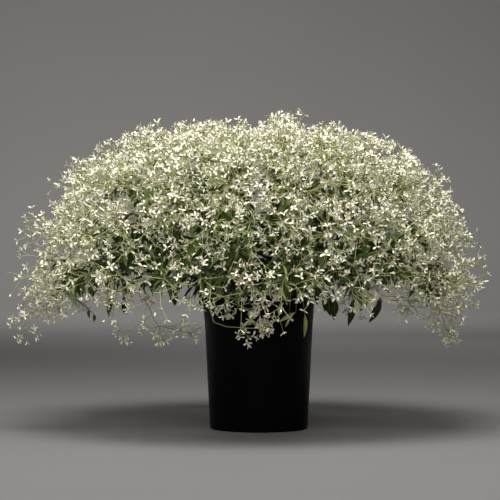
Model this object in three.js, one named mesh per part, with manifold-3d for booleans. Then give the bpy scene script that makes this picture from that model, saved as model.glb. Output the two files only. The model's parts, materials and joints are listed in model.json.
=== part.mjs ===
// A potted white-flowered euphorbia (Euphorbia graminea) in a black nursery pot.
// Millimetres, +Z up. The origin is the middle of the pot's underside, and -Y is the side seen first.
//
// The plant is a wide mound of leafy stems, each in its own hole in the soil. Every stem ends in two
// flower sprays, which fork three times and carry a bloom of three white bracts on each tip, and a
// few more where they fork.
// The mound is worked out from its tips inward: the tips are spread evenly over its outline,
// neighbouring tips share a fork, neighbouring forks share a branch, and so on down to the stems.

import * as THREE from "three";
import { mergeVertices } from "three/addons/utils/BufferGeometryUtils.js";
import Module from "manifold-3d";

const wasm = await Module();
wasm.setup();

// Pot
const POT_HEIGHT = 187;
const POT_FOOT_RADIUS = 68.3;
const POT_TOP_RADIUS = 77.5;
const POT_WALL = 1.6;
const POT_FLOOR = 2.4;
const LIP_HEIGHT = 11;
const LIP_OVERHANG = 3;
const LIP_ROUND = 1.2;
const DRAIN_HOLES = 6;
const DRAIN_RADIUS = 5;
const DRAIN_RING = 50;
const DRAIN_SIDES = 8;
const ROUND_SIDES = 36;

// Soil
const SOIL_TOP = 170;
const SOIL_CROWN = 3;
const SOIL_CROWN_SHARE = 0.7;
const SEAT_GAP = 0.3;
const HOLE_DEPTH = 14;
const HOLE_SIDES = 6;

// Mound, as reaches from its crown at angles above the horizon
const CROWN = new THREE.Vector3(0, 0, 188);
const LOWEST_ANGLE = -6;
const REACH_LEFT = [[-6, 325], [5, 341], [28, 322], [55, 268], [75, 238], [90, 238]];
const REACH_RIGHT = [[-6, 295], [5, 314], [28, 298], [50, 276], [68, 240], [90, 238]];
const DEPTH_SHARE = 0.95;
const ARCH = 34;

// Habit
const STEMS = 16;
const TIPS_PER_STEM = 16;
const GOLDEN_ANGLE = Math.PI * (3 - Math.sqrt(5));
const LOW_CROWDING = 1.05;
const SEED = 57;
const STEM_FORK = 0.48;
const FORKS = [0.64, 0.75, 0.855];
const FORK_SPREAD = [0.97, 1.03];
const TIP_SHARES = [0.93, 1.0];
const SPRAY_VIGOUR = [0.95, 1.04];
const WANDER = 5;
const TIP_WANDER = 2;
const KEEPS_COURSE = 0.6;
const SIZE_SPREAD = [0.85, 1.15];

// Leafy stems
const STEM_RADIUS = 2.4;
const STEM_TOP_RADIUS = 1.7;
const STEM_PITCHES = 6;
const STEM_RING = [14, 47];
const STEM_RISE = 62;
const STEM_LEAN = 24;
const STEM_ZIGZAG = 1.5;
const ARM_LENGTH = 20;
const ARM_RADIUS = 1.5;
const LEAF_LENGTH = 44;
const LEAF_WIDTH = 12;
const LEAF_FOLD = 1.6;
const LEAF_THICKNESS = 0.9;
const LEAF_SHOULDER = 0.25;
const LEAF_WIDEST = 0.35;
const LEAF_NARROWS = 0.7;
const LEAF_NARROW_WIDTH = 0.8;
const PETIOLE = 9;
const PETIOLE_RADIUS = 0.8;
const LEAF_CLEARANCE = 1.5;
const LEAF_LEAN = 0.8;
const LEAF_SAG = [0, 0.35];
const LEVEL_SAG = 0.9;
const LEAF_TRIES = 12;
const LEAF_TRY_TURN = 0.5;
const SHORT_LEAF = 0.75;
const LIP_CLEARANCE = 14;
const LEAST_AHEAD = 0.36;
const FIRST_PAIR = 2;

// Flower sprays
const SPRAY_RADII = [1.35, 1.15, 1.0, 0.85];
const PEDICEL_RADIUS = 0.75;
const BRACTS = 3;
const BRACT_LENGTH = 15.5;
const BRACT_WIDTH = 8;
const BRACT_WIDEST = 0.58;
const BRACT_LIFT = 0.42;
const BLOOM_CROWN = 1.3;
const BLOOM_WAIST = 2;
const INNER_BLOOM_LEVEL = 1;
const INNER_STALK = 16;
const STALK_LEAN = 0.6;
const BLOOM_CLEARANCE = 1;
const NEAREST_ARM = 0.4;
const FLATTEST_ARM = 0.35;

// Numbers that keep the draws of different pieces apart
const DRAWS_PER_STEM = 20;
const STEM_TOP_DRAWS = 500;
const INNER_BLOOM_DRAWS = 900;

const UP = new THREE.Vector3(0, 0, 1);
const TRIANGLE_SIDE = Math.sqrt(3);

const LOOKS = {
  pot: { color: 0x0b0b0b, roughness: 0.42, metalness: 0 },
  soil: { color: 0x2c2018, roughness: 0.95, metalness: 0 },
  foliage: { color: 0x3f5c24, roughness: 0.6, metalness: 0 },
  flowers: { color: 0xe9ead2, roughness: 0.7, metalness: 0 },
};

// A repeatable draw from 0 to 1 for one feature of one piece.
function draw(piece, feature) {
  let h = (piece * 374761393 + feature * 668265263 + SEED) | 0;
  h = Math.imul(h ^ (h >>> 15), 2246822507);
  h = Math.imul(h ^ (h >>> 13), 3266489909);
  return ((h ^ (h >>> 16)) >>> 0) / 4294967296;
}

// A repeatable value between two limits.
function drawBetween([low, high], piece, feature) {
  return low + (high - low) * draw(piece, feature);
}

// A small repeatable sideways step for one piece.
function wander(piece, size) {
  return new THREE.Vector3(
    draw(piece, 1) - 0.5,
    draw(piece, 2) - 0.5,
    draw(piece, 3) - 0.5,
  ).multiplyScalar(2 * size);
}

// The value of a table of [angle, value] rows at an angle between them.
function between(rows, angle) {
  const next = Math.max(1, rows.findIndex(([a]) => a >= angle));
  const [a0, v0] = rows[next - 1];
  const [a1, v1] = rows[next];
  return v0 + ((v1 - v0) * (angle - a0)) / (a1 - a0);
}

// How far the mound reaches from its crown along a direction.
function reach(way) {
  const angle = THREE.MathUtils.radToDeg(Math.asin(THREE.MathUtils.clamp(way.z, -1, 1)));
  const level = Math.hypot(way.x, way.y) || 1;
  const right = 0.5 + (0.5 * way.x) / level;
  const depth = Math.abs(way.y);
  const held = THREE.MathUtils.clamp(angle, LOWEST_ANGLE, 90);
  const side = between(REACH_LEFT, held) * (1 - right) + between(REACH_RIGHT, held) * right;
  return side * (1 + (DEPTH_SHARE - 1) * depth);
}

// The point a share of the way out along a direction. Low branches arch up and come down again.
function outward(way, share) {
  const arch = ARCH * 4 * share * (1 - share) * Math.hypot(way.x, way.y);
  return CROWN.clone()
    .addScaledVector(way, reach(way) * share)
    .addScaledVector(UP, arch);
}

// The directions of all tips: a golden-angle spiral from the skirt of the mound to its top.
function tipDirections() {
  const low = Math.sin(THREE.MathUtils.degToRad(LOWEST_ANGLE));
  const count = STEMS * TIPS_PER_STEM;
  return Array.from({ length: count }, (_, i) => {
    const z = low + (1 - low) * Math.pow((i + 0.5) / count, LOW_CROWDING);
    const level = Math.sqrt(1 - z * z);
    return new THREE.Vector3(level * Math.cos(i * GOLDEN_ANGLE), level * Math.sin(i * GOLDEN_ANGLE), z);
  });
}

function middle(ways) {
  return ways.reduce((sum, way) => sum.add(way), new THREE.Vector3()).normalize();
}

// Splits a group of directions in two across its longer side.
function halve(ways) {
  const m = middle(ways);
  const across = m.z > 0.9 ? new THREE.Vector3(1, 0, 0) : UP.clone().cross(m).normalize();
  const along = m.clone().cross(across);
  const spread = (axis) => {
    const places = ways.map((way) => way.dot(axis));
    return Math.max(...places) - Math.min(...places);
  };
  const axis = spread(across) > spread(along) ? across : along;
  const sorted = [...ways].sort((a, b) => a.dot(axis) - b.dot(axis));
  return [sorted.slice(0, sorted.length / 2), sorted.slice(sorted.length / 2)];
}

function halveTo(ways, size) {
  return ways.length <= size ? [ways] : halve(ways).flatMap((half) => halveTo(half, size));
}

// A point of the plant, with what grows on from it.
function joint(at, radius, kids = []) {
  return { at, radius, kids };
}

function bloomJoint(at, piece) {
  return { ...joint(at, PEDICEL_RADIUS), bloom: BRACT_LENGTH * drawBetween(SIZE_SPREAD, piece, 5) };
}

// One fork of a spray and all that it carries. Vigour lets whole sprays reach further or less far.
function sprayFork(ways, level, piece, vigour) {
  if (ways.length === 1) {
    const share = vigour * drawBetween(TIP_SHARES, piece, 4);
    return bloomJoint(outward(ways[0], share).add(wander(piece, TIP_WANDER)), piece);
  }
  const share = vigour * FORKS[level] * drawBetween(FORK_SPREAD, piece, 7);
  const at = outward(middle(ways), share).add(wander(piece, WANDER / (level + 1)));
  const kids = halve(ways).map((half, i) => sprayFork(half, level + 1, 2 * piece + i, vigour));
  return { ...joint(at, SPRAY_RADII[level + 1], kids), level, piece };
}

// The line of one stem, from its hole in the soil up and over to its fork.
function stemLine(way, index) {
  const level = Math.hypot(way.x, way.y);
  const side = new THREE.Vector3(way.x, way.y, 0).divideScalar(level || 1);
  const ring = STEM_RING[0] + (STEM_RING[1] - STEM_RING[0]) * level;
  const foot = side.clone().multiplyScalar(ring).setZ(SOIL_TOP + SOIL_CROWN + 1);
  const bend = foot
    .clone()
    .addScaledVector(side, STEM_LEAN * level)
    .addScaledVector(UP, STEM_RISE);
  const top = outward(way, STEM_FORK).add(wander(index + STEM_TOP_DRAWS, WANDER));
  return new THREE.QuadraticBezierCurve3(foot, bend, top);
}

// A stem's own line of joints, its two arms, and the two sprays that continue them.
function growStem(ways, index) {
  const way = middle(ways);
  const line = stemLine(way, index);
  const pitches = Array.from({ length: STEM_PITCHES + 1 }, (_, i) => {
    const t = i / STEM_PITCHES;
    const zigzag = wander(index * DRAWS_PER_STEM + i, i && i < STEM_PITCHES ? STEM_ZIGZAG : 0);
    return joint(line.getPoint(t).add(zigzag), STEM_RADIUS + (STEM_TOP_RADIUS - STEM_RADIUS) * t);
  });
  const sunk = pitches[0].at.clone().setZ(SOIL_TOP - HOLE_DEPTH + SEAT_GAP);
  const root = joint(sunk, STEM_RADIUS, [pitches[0]]);
  pitches.slice(1).forEach((next, i) => pitches[i].kids.push(next));
  const fork = pitches[STEM_PITCHES];
  const sprays = halve(ways).map((half, i) => {
    const piece = 2 * (index + STEMS) + i;
    const crown = sprayFork(half, 0, piece, drawBetween(SPRAY_VIGOUR, piece, 10));
    const heading = towards(fork.at, crown.at);
    const cut = fork.at.clone().addScaledVector(heading, ARM_LENGTH);
    fork.kids.push(joint(cut, ARM_RADIUS));
    return joint(cut.clone().addScaledVector(heading, SEAT_GAP), SPRAY_RADII[0], [crown]);
  });
  return { index, root, pitches, sprays };
}

// Every stretch of stem below a joint, as a thick line.
function stretches(from) {
  return from.kids.flatMap((kid) => [
    { a: from.at, b: kid.at, radius: Math.max(from.radius, kid.radius), ends: [from, kid] },
    ...(kid.bloom ? [bractsRound(kid.at, kid.bloom, [kid])] : []),
    ...stretches(kid),
  ]);
}

// The least distance between two line segments.
function distanceBetween(a0, a1, b0, b1) {
  const u = a1.clone().sub(a0);
  const v = b1.clone().sub(b0);
  const w = a0.clone().sub(b0);
  const uu = u.dot(u);
  const uv = u.dot(v);
  const vv = v.dot(v);
  const uw = u.dot(w);
  const vw = v.dot(w);
  const clamp = (x) => THREE.MathUtils.clamp(x, 0, 1);
  const flat = uu * vv - uv * uv;
  let s = flat > 1e-9 ? clamp((uv * vw - vv * uw) / flat) : 0;
  const t = vv > 1e-9 ? clamp((uv * s + vw) / vv) : 0;
  s = uu > 1e-9 ? clamp((uv * t - uw) / uu) : 0;
  return w.addScaledVector(u, s).addScaledVector(v, -t).length();
}

function towards(from, to) {
  return to.clone().sub(from).normalize();
}

// The way a stem faces at a joint: between its way in and the middle of its ways out, nearer the latter.
function facing(node, from) {
  const heading = towards(from, node.at);
  const out = new THREE.Vector3();
  node.kids.filter((kid) => !kid.aside).forEach((kid) => out.add(towards(node.at, kid.at)));
  return out.lengthSq() ? out.normalize().addScaledVector(heading, KEEPS_COURSE).normalize() : heading;
}

// Two directions square to a heading and to each other, the first of them level.
function squareTo(heading) {
  const level = heading.clone().cross(UP);
  if (level.lengthSq() < 1e-4) level.set(1, 0, 0);
  level.normalize();
  return [level, level.clone().cross(heading)];
}

// One leaf's way out from its joint, where its blade starts and where it ends. It hangs more on a
// level stem than on an upright one.
function leafAt(node, heading, turn, size, slack) {
  const [level, over] = squareTo(heading);
  const out = heading
    .clone()
    .multiplyScalar(LEAF_LEAN)
    .addScaledVector(level, Math.cos(turn))
    .addScaledVector(over, Math.sin(turn))
    .normalize();
  const sag = slack + LEVEL_SAG * (1 - Math.abs(heading.z));
  const hang = out.clone().addScaledVector(UP, -sag).normalize();
  const neck = node.at.clone().addScaledVector(out, PETIOLE * size);
  const tip = neck.clone().addScaledVector(hang, LEAF_LENGTH * size);
  return { neck, tip, hang, size };
}

// True if thick lines are clear of all that is taken, apart from what meets them at a joint.
function isFree(lines, taken, clearance) {
  return lines.every((mine) =>
    taken.every((other) => {
      if (mine.ends.some((end) => other.ends.includes(end))) return true;
      const gap = distanceBetween(mine.a, mine.b, other.a, other.b);
      return gap > mine.radius + other.radius + clearance;
    }),
  );
}

// Puts one leaf on a joint, turned and at last shortened until it is clear of everything.
function addLeaf(node, heading, turn, piece, taken) {
  const fullSize = drawBetween(SIZE_SPREAD, piece, 8);
  const slack = drawBetween(LEAF_SAG, piece, 9);
  for (let tries = 0; tries < LEAF_TRIES; tries += 1) {
    const size = tries < LEAF_TRIES / 2 ? fullSize : SHORT_LEAF * fullSize;
    const leaf = leafAt(node, heading, turn + tries * LEAF_TRY_TURN, size, slack);
    const base = leaf.neck.clone().lerp(leaf.tip, LEAF_SHOULDER);
    const blade = { a: base, b: leaf.tip, radius: (LEAF_WIDTH / 2) * size, ends: [] };
    const stalk = { a: node.at, b: base, radius: PETIOLE_RADIUS, ends: [node] };
    const ahead = towards(node.at, base).dot(heading) > LEAST_AHEAD;
    if (ahead && clearOfLip(leaf) && isFree([blade, stalk], taken, LEAF_CLEARANCE)) {
      node.kids.push({ ...joint(leaf.neck, PETIOLE_RADIUS), leaf, aside: true });
      taken.push(blade, stalk);
      return;
    }
  }
}

// Leaves go on each stem's joints: single ones low down in a spiral, and opposite pairs above.
function leafOut(stem, taken) {
  stem.pitches.slice(1, -1).forEach((node, i) => {
    const heading = facing(node, stem.pitches[i].at);
    const turn = (stem.index + i) * GOLDEN_ANGLE;
    const piece = stem.index * DRAWS_PER_STEM + 2 * i;
    addLeaf(node, heading, turn, piece, taken);
    const single = node.kids.length < 2 || i < FIRST_PAIR;
    if (!single) addLeaf(node, heading, turn + Math.PI, piece + 1, taken);
  });
}

// The thick line of a bloom's bracts, which reach the same length all round its joint.
function bractsRound(at, radius, ends) {
  return { a: at, b: at, radius, ends };
}

// Some forks carry a bloom of their own, which stands out from the plane of the fork.
function bloomFork(node, from, taken) {
  node.kids.filter((kid) => kid.kids.length).forEach((kid) => bloomFork(kid, node, taken));
  if (node.level !== INNER_BLOOM_LEVEL) return;
  const heading = facing(node, from.at);
  const arms = node.kids.map((kid) => towards(node.at, kid.at));
  if (arms.some((arm) => arm.dot(heading) < FLATTEST_ARM)) return;
  const front = heading.clone().cross(spreadOf(node, heading));
  const at = [front, front.clone().negate()]
    .map((side) => side.addScaledVector(heading, STALK_LEAN).normalize())
    .filter((way) => arms.every((arm) => arm.dot(way) < NEAREST_ARM))
    .map((way) => node.at.clone().addScaledVector(way, INNER_STALK))
    .find((end) => isFree([bractsRound(end, BRACT_LENGTH, [node])], taken, BLOOM_CLEARANCE));
  if (!at) return;
  const bloom = bloomJoint(at, node.piece + INNER_BLOOM_DRAWS);
  node.kids.push({ ...bloom, aside: true });
  taken.push({ a: node.at, b: at, radius: PEDICEL_RADIUS, ends: [node] });
  taken.push(bractsRound(at, bloom.bloom, []));
}

// True if a leaf stays above the pot's lip or well outside it.
function clearOfLip(leaf) {
  return [0, 0.5, 1].every((t) => {
    const p = leaf.neck.clone().lerp(leaf.tip, t);
    const above = p.z > POT_HEIGHT + LEAF_WIDTH / 2;
    return above || Math.hypot(p.x, p.y) > POT_TOP_RADIUS + LIP_CLEARANCE;
  });
}

// Vertices and faces of one piece while it is being built.
class Skin {
  constructor() {
    this.vertices = [];
    this.faces = [];
  }

  add(point) {
    this.vertices.push(point);
    return this.vertices.length - 1;
  }

  addRing(points) {
    return points.map((point) => this.add(point));
  }

  cap(ring) {
    for (let i = 1; i < ring.length - 1; i += 1) this.faces.push([ring[0], ring[i + 1], ring[i]]);
  }

  lid(ring) {
    for (let i = 1; i < ring.length - 1; i += 1) this.faces.push([ring[0], ring[i], ring[i + 1]]);
  }

  point(ring, tip) {
    const end = this.add(tip);
    ring.forEach((v, i) => this.faces.push([v, ring[(i + 1) % ring.length], end]));
  }

  centre(ring) {
    const sum = ring.reduce((total, v) => total.add(this.vertices[v]), new THREE.Vector3());
    return sum.divideScalar(ring.length);
  }

  // Joins ring a to ring b, which may have different numbers of corners. Both are seen from a centre.
  loft(a, b, ca = this.centre(a), cb = this.centre(b)) {
    const axis = cb.clone().sub(ca).normalize();
    const e1 = this.vertices[a[0]].clone().sub(ca);
    e1.addScaledVector(axis, -e1.dot(axis)).normalize();
    const e2 = axis.clone().cross(e1);
    const angles = (ring, c) =>
      ring.map((v) => {
        const d = this.vertices[v].clone().sub(c);
        return Math.atan2(d.dot(e2), d.dot(e1));
      });
    const turnA = unwrap(angles(a, ca), 0);
    const rawB = angles(b, cb);
    const first = rawB.reduce((best, x, i) => (Math.abs(x) < Math.abs(rawB[best]) ? i : best), 0);
    const turnB = unwrap(rawB, first);
    let i = 0;
    let j = 0;
    while (i < a.length || j < b.length) {
      const va = a[i % a.length];
      const vb = b[(first + j) % b.length];
      if (j === b.length || (i < a.length && turnA[i + 1] <= turnB[j + 1])) {
        this.faces.push([va, a[(i + 1) % a.length], vb]);
        i += 1;
      } else {
        this.faces.push([va, b[(first + j + 1) % b.length], vb]);
        j += 1;
      }
    }
  }

  geometry() {
    const made = new THREE.BufferGeometry().setFromPoints(this.vertices);
    made.setIndex(this.faces.flat());
    return made;
  }
}

// Angles round a ring from one of its corners, each more than the last, closing a full turn later.
function unwrap(angles, first) {
  const turned = [angles[first]];
  for (let i = 1; i <= angles.length; i += 1) {
    let next = angles[(first + i) % angles.length];
    while (next < turned[i - 1]) next += 2 * Math.PI;
    turned.push(i === angles.length ? angles[first] + 2 * Math.PI : next);
  }
  return turned;
}

// The direction in which the things that grow from a joint spread, square to the stem.
function spreadOf(node, heading) {
  const main = node.kids.filter((kid) => !kid.aside);
  const pair = main.length > 1 ? main : node.kids.filter((kid) => kid.aside);
  const across = new THREE.Vector3();
  pair.forEach((kid, i) => across.addScaledVector(towards(node.at, kid.at), 2 * i - 1));
  across.addScaledVector(heading, -across.dot(heading));
  return across.lengthSq() > 1e-6 ? across.normalize() : squareTo(heading)[0];
}

// The corners of a three-sided stem at a joint, and a share of them for each thing that grows on.
function stemRing(skin, node, from) {
  const heading = facing(node, from);
  const across = spreadOf(node, heading);
  const front = heading.clone().cross(across);
  const place = (u, n) =>
    node.at
      .clone()
      .addScaledVector(across, u * node.radius)
      .addScaledVector(front, n * node.radius);
  const ridge = skin.add(place(0, 1));
  const shares = Math.max(1, node.kids.length);
  const back = Array.from({ length: shares + 1 }, (_, i) =>
    skin.add(place(TRIANGLE_SIDE * (i / shares - 0.5), -0.5)),
  );
  const sideways = (kid) => towards(node.at, kid.at).dot(across);
  const kids = [...node.kids].sort((a, b) => sideways(a) - sideways(b));
  return { whole: [ridge, ...back], portions: kids.map((kid, i) => [kid, [ridge, back[i], back[i + 1]]]) };
}

// Grows the skin on from a ring of corners to a joint and everything beyond it.
function growSkin(skin, from, ring, node) {
  if (node.bloom) return bloomSkin(skin, ring, node, towards(from, node.at));
  if (node.leaf) return leafSkin(skin, ring, node.leaf);
  const { whole, portions } = stemRing(skin, node, from);
  skin.loft(ring, whole);
  if (!portions.length) skin.lid(whole);
  portions.forEach(([kid, share]) => growSkin(skin, node.at, share, kid));
  return skin;
}

// The closed skin of everything that grows from a root joint.
function skinOf(root) {
  const skin = new Skin();
  const below = root.at.clone().sub(towards(root.at, root.kids[0].at));
  const { whole, portions } = stemRing(skin, root, below);
  skin.cap(whole);
  portions.forEach(([kid, share]) => growSkin(skin, root.at, share, kid));
  return skin.geometry();
}

// A bloom: bracts spread round the tip of its stalk, narrow at the root and widest past the middle.
function bloomSkin(skin, ring, node, heading) {
  const e1 = towards(skin.centre(ring), skin.vertices[ring[0]]);
  e1.addScaledVector(heading, -e1.dot(heading)).normalize();
  const e2 = heading.clone().cross(e1);
  const spoke = (angle) =>
    e1.clone().multiplyScalar(Math.cos(angle)).addScaledVector(e2, Math.sin(angle));
  const pitch = (2 * Math.PI) / BRACTS;
  const neck = skin.addRing(
    Array.from({ length: BRACTS }, (_, i) =>
      node.at.clone().addScaledVector(spoke(i * pitch), node.radius),
    ),
  );
  skin.loft(ring, neck);
  const waist = skin.addRing(
    Array.from({ length: BRACTS }, (_, i) =>
      node.at
        .clone()
        .addScaledVector(spoke(i * pitch), BLOOM_WAIST)
        .addScaledVector(heading, BLOOM_CROWN / 2),
    ),
  );
  const rim = [];
  for (let i = 0; i < BRACTS; i += 1) {
    const next = (i + 1) % BRACTS;
    const way = spoke((i + 0.5) * pitch).addScaledVector(heading, BRACT_LIFT).normalize();
    const side = spoke((i + 0.5) * pitch + Math.PI / 2);
    const length = node.bloom;
    const wide = (half) =>
      skin.add(
        node.at
          .clone()
          .addScaledVector(way, BRACT_WIDEST * length)
          .addScaledVector(side, (half * BRACT_WIDTH) / 2),
      );
    const right = wide(-1);
    const tip = skin.add(node.at.clone().addScaledVector(way, length));
    const left = wide(1);
    skin.faces.push(
      [neck[i], right, waist[i]],
      [neck[i], tip, right],
      [neck[i], neck[next], tip],
      [neck[next], left, tip],
      [neck[next], waist[next], left],
    );
    rim.push(waist[i], right, tip, left);
  }
  skin.point(rim, node.at.clone().addScaledVector(heading, BLOOM_CROWN));
  return skin;
}

// A lance-shaped leaf, folded up a little on both sides of its midrib.
function leafSkin(skin, ring, { neck, tip, hang, size }) {
  const wide = hang.clone().cross(UP).normalize();
  const face = wide.clone().cross(hang);
  const ribAt = (share) => neck.clone().lerp(tip, share);
  const ringAt = (share, width) => {
    const place = (across, up) =>
      ribAt(share)
        .addScaledVector(wide, (across * size * width * LEAF_WIDTH) / 2)
        .addScaledVector(face, up);
    const edge = LEAF_FOLD * width;
    const half = LEAF_THICKNESS / 2;
    return skin.addRing([place(0, half), place(1, edge), place(0, -half), place(-1, edge)]);
  };
  const lower = ringAt(LEAF_WIDEST, 1);
  const upper = ringAt(LEAF_NARROWS, LEAF_NARROW_WIDTH);
  skin.loft(ring, lower, skin.centre(ring), ribAt(LEAF_WIDEST));
  skin.loft(lower, upper, ribAt(LEAF_WIDEST), ribAt(LEAF_NARROWS));
  skin.point(upper, tip);
  return skin;
}

// A solid of revolution about the Z axis, from a profile that starts and ends on it.
function turned(profile) {
  const made = new THREE.LatheGeometry(
    profile.map(([r, z]) => new THREE.Vector2(r, z)),
    ROUND_SIDES,
  );
  return made.rotateX(Math.PI / 2);
}

function toSolid(geometry) {
  const bare = geometry.clone();
  bare.deleteAttribute("normal");
  bare.deleteAttribute("uv");
  const merged = mergeVertices(bare, 1e-4);
  return new wasm.Manifold(
    new wasm.Mesh({
      numProp: 3,
      vertProperties: merged.attributes.position.array,
      triVerts: new Uint32Array(merged.index.array),
    }),
  );
}

function toGeometry(solid) {
  const mesh = solid.getMesh();
  return new THREE.BufferGeometry()
    .setAttribute("position", new THREE.BufferAttribute(mesh.vertProperties, 3))
    .setIndex(new THREE.BufferAttribute(mesh.triVerts, 1));
}

// An upright prism used as a drill.
function drill(x, y, low, high, radius, sides) {
  const made = new THREE.CylinderGeometry(radius, radius, high - low, sides);
  made.rotateX(Math.PI / 2);
  made.translate(x, y, (low + high) / 2);
  return toSolid(made);
}

function potRadius(z) {
  return POT_FOOT_RADIUS + ((POT_TOP_RADIUS - POT_FOOT_RADIUS) * z) / POT_HEIGHT;
}

function makePot() {
  const lipFoot = POT_HEIGHT - LIP_HEIGHT;
  const lip = POT_TOP_RADIUS + LIP_OVERHANG;
  const profile = [
    [0, 0],
    [POT_FOOT_RADIUS - LIP_ROUND, 0],
    [potRadius(LIP_ROUND), LIP_ROUND],
    [potRadius(lipFoot), lipFoot],
    [lip, lipFoot + LIP_ROUND],
    [lip, POT_HEIGHT - LIP_ROUND],
    [lip - LIP_ROUND, POT_HEIGHT],
    [potRadius(POT_HEIGHT) - POT_WALL, POT_HEIGHT],
    [potRadius(POT_FLOOR) - POT_WALL, POT_FLOOR],
    [0, POT_FLOOR],
  ];
  let pot = toSolid(turned(profile));
  for (let i = 0; i < DRAIN_HOLES; i += 1) {
    const turn = (2 * Math.PI * (i + 0.5)) / DRAIN_HOLES;
    const x = DRAIN_RING * Math.cos(turn);
    const y = DRAIN_RING * Math.sin(turn);
    pot = pot.subtract(drill(x, y, -1, POT_FLOOR + 1, DRAIN_RADIUS, DRAIN_SIDES));
  }
  return toGeometry(pot);
}

function makeSoil(stems) {
  const foot = POT_FLOOR + SEAT_GAP;
  const inside = (z) => potRadius(z) - POT_WALL - SEAT_GAP;
  let soil = toSolid(
    turned([
      [0, foot],
      [inside(foot), foot],
      [inside(SOIL_TOP), SOIL_TOP],
      [inside(SOIL_TOP) * SOIL_CROWN_SHARE, SOIL_TOP + SOIL_CROWN],
      [0, SOIL_TOP + SOIL_CROWN],
    ]),
  );
  stems.forEach(({ root }) => {
    const radius = (STEM_RADIUS + SEAT_GAP) / Math.cos(Math.PI / HOLE_SIDES);
    const { x, y } = root.at;
    const floor = SOIL_TOP - HOLE_DEPTH;
    soil = soil.subtract(drill(x, y, floor, SOIL_TOP + 2 * SOIL_CROWN, radius, HOLE_SIDES));
  });
  return toGeometry(soil);
}

const euphorbia = new THREE.Group();
euphorbia.name = "potted_euphorbia";

function place(name, geometry, look) {
  const mesh = new THREE.Mesh(geometry, new THREE.MeshStandardMaterial({ ...look, flatShading: true }));
  mesh.name = name;
  euphorbia.add(mesh);
}

const stems = halveTo(tipDirections(), TIPS_PER_STEM).map(growStem);
const taken = stems.flatMap(({ root, sprays }) => [root, ...sprays].flatMap(stretches));
stems.forEach((stem) => leafOut(stem, taken));
stems.forEach(({ sprays }) => sprays.forEach((spray) => bloomFork(spray.kids[0], spray, taken)));

place("nursery_pot", makePot(), LOOKS.pot);
place("soil", makeSoil(stems), LOOKS.soil);
stems.forEach(({ index, root, sprays }) => {
  const label = String(index + 1).padStart(2, "0");
  place(`leafy_stem_${label}`, skinOf(root), LOOKS.foliage);
  sprays.forEach((spray, i) => place(`flower_spray_${label}_${"ab"[i]}`, skinOf(spray), LOOKS.flowers));
});

export default euphorbia;
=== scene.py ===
# The looks of a potted white-flowered euphorbia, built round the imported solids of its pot, soil,
# leafy stems and flower sprays. The plant grows by the rule that its solids were grown by, worked in
# millimetres, and then on into fine twigs, bracts and leaves. Meshes are made in metres.
import json
import math
import random
from dataclasses import dataclass, field

import bmesh
import bpy
import numpy as np
from mathutils import Matrix, Vector

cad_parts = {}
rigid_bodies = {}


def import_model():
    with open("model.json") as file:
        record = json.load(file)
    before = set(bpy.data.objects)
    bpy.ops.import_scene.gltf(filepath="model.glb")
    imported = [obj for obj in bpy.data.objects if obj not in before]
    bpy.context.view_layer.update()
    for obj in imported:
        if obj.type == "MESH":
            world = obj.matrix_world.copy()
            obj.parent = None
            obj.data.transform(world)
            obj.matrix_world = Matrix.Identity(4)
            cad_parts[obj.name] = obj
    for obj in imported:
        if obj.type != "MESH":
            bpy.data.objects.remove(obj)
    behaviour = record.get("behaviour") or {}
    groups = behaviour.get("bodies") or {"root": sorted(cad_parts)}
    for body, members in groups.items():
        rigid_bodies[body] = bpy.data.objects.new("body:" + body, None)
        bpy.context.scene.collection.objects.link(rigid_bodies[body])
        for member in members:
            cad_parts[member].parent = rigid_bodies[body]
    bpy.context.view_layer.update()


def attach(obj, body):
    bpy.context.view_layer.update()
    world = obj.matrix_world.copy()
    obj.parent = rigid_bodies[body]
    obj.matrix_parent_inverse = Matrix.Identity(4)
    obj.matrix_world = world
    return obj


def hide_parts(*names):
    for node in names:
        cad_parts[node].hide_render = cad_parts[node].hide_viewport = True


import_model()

MM = 0.001
BODY = "root"
UP = np.array([0.0, 0.0, 1.0])

# Pot and soil, in millimetres
POT_HEIGHT = 187
POT_FOOT_RADIUS = 68.3
POT_TOP_RADIUS = 77.5
POT_WALL = 1.6
POT_FLOOR = 2.4
POT_SIDES = 144
LIP_HEIGHT = 11
LIP_OVERHANG = 3
LIP_ROUND = 1.2
RIM_ROUND = 0.6
FOOT_ROUND = 2.2
FOOT_LAND = 2
ROUND_STEPS = 5
BAND_DROP = 24
BAND_DEPTH = 0.5
FLOOR_SLOPE = (1.2, 2)
SHARP_FROM = 40
DRAIN_HOLES = 6
DRAIN_RADIUS = 5
DRAIN_RING = 50
DRAIN_SIDES = 32
SOIL_TOP = 170
SOIL_CROWN = 3
SOIL_GAP = 0.3
SOIL_FOOT_ROUND = 2
HOLE_DEPTH = 14
SOIL_RINGS = 26
SOIL_SIDES = 96
SOIL_ROUGHNESS = 1.3
GRAIN_SIZE = 2.6
GRAIN_WIDTHS = (0.35, 1.15)
GRAIN_FLATNESS = (1, 0.7, 0.4)
GRAIN_SEED = 11
PERLITE_SEED = 3
GRAINS_PER_SQUARE_METRE = 70000
PERLITE_SHARE = 0.12
FACES_UP = 0.5

# The mound, as reaches from its crown at angles above the horizon
CROWN = np.array([0.0, 0.0, 188.0])
LOWEST_ANGLE = -6
REACH_LEFT = [(-6, 325), (5, 341), (28, 322), (55, 268), (75, 238), (90, 238)]
REACH_RIGHT = [(-6, 295), (5, 314), (28, 298), (50, 276), (68, 240), (90, 238)]
DEPTH_SHARE = 0.95
ARCH = 34

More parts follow.
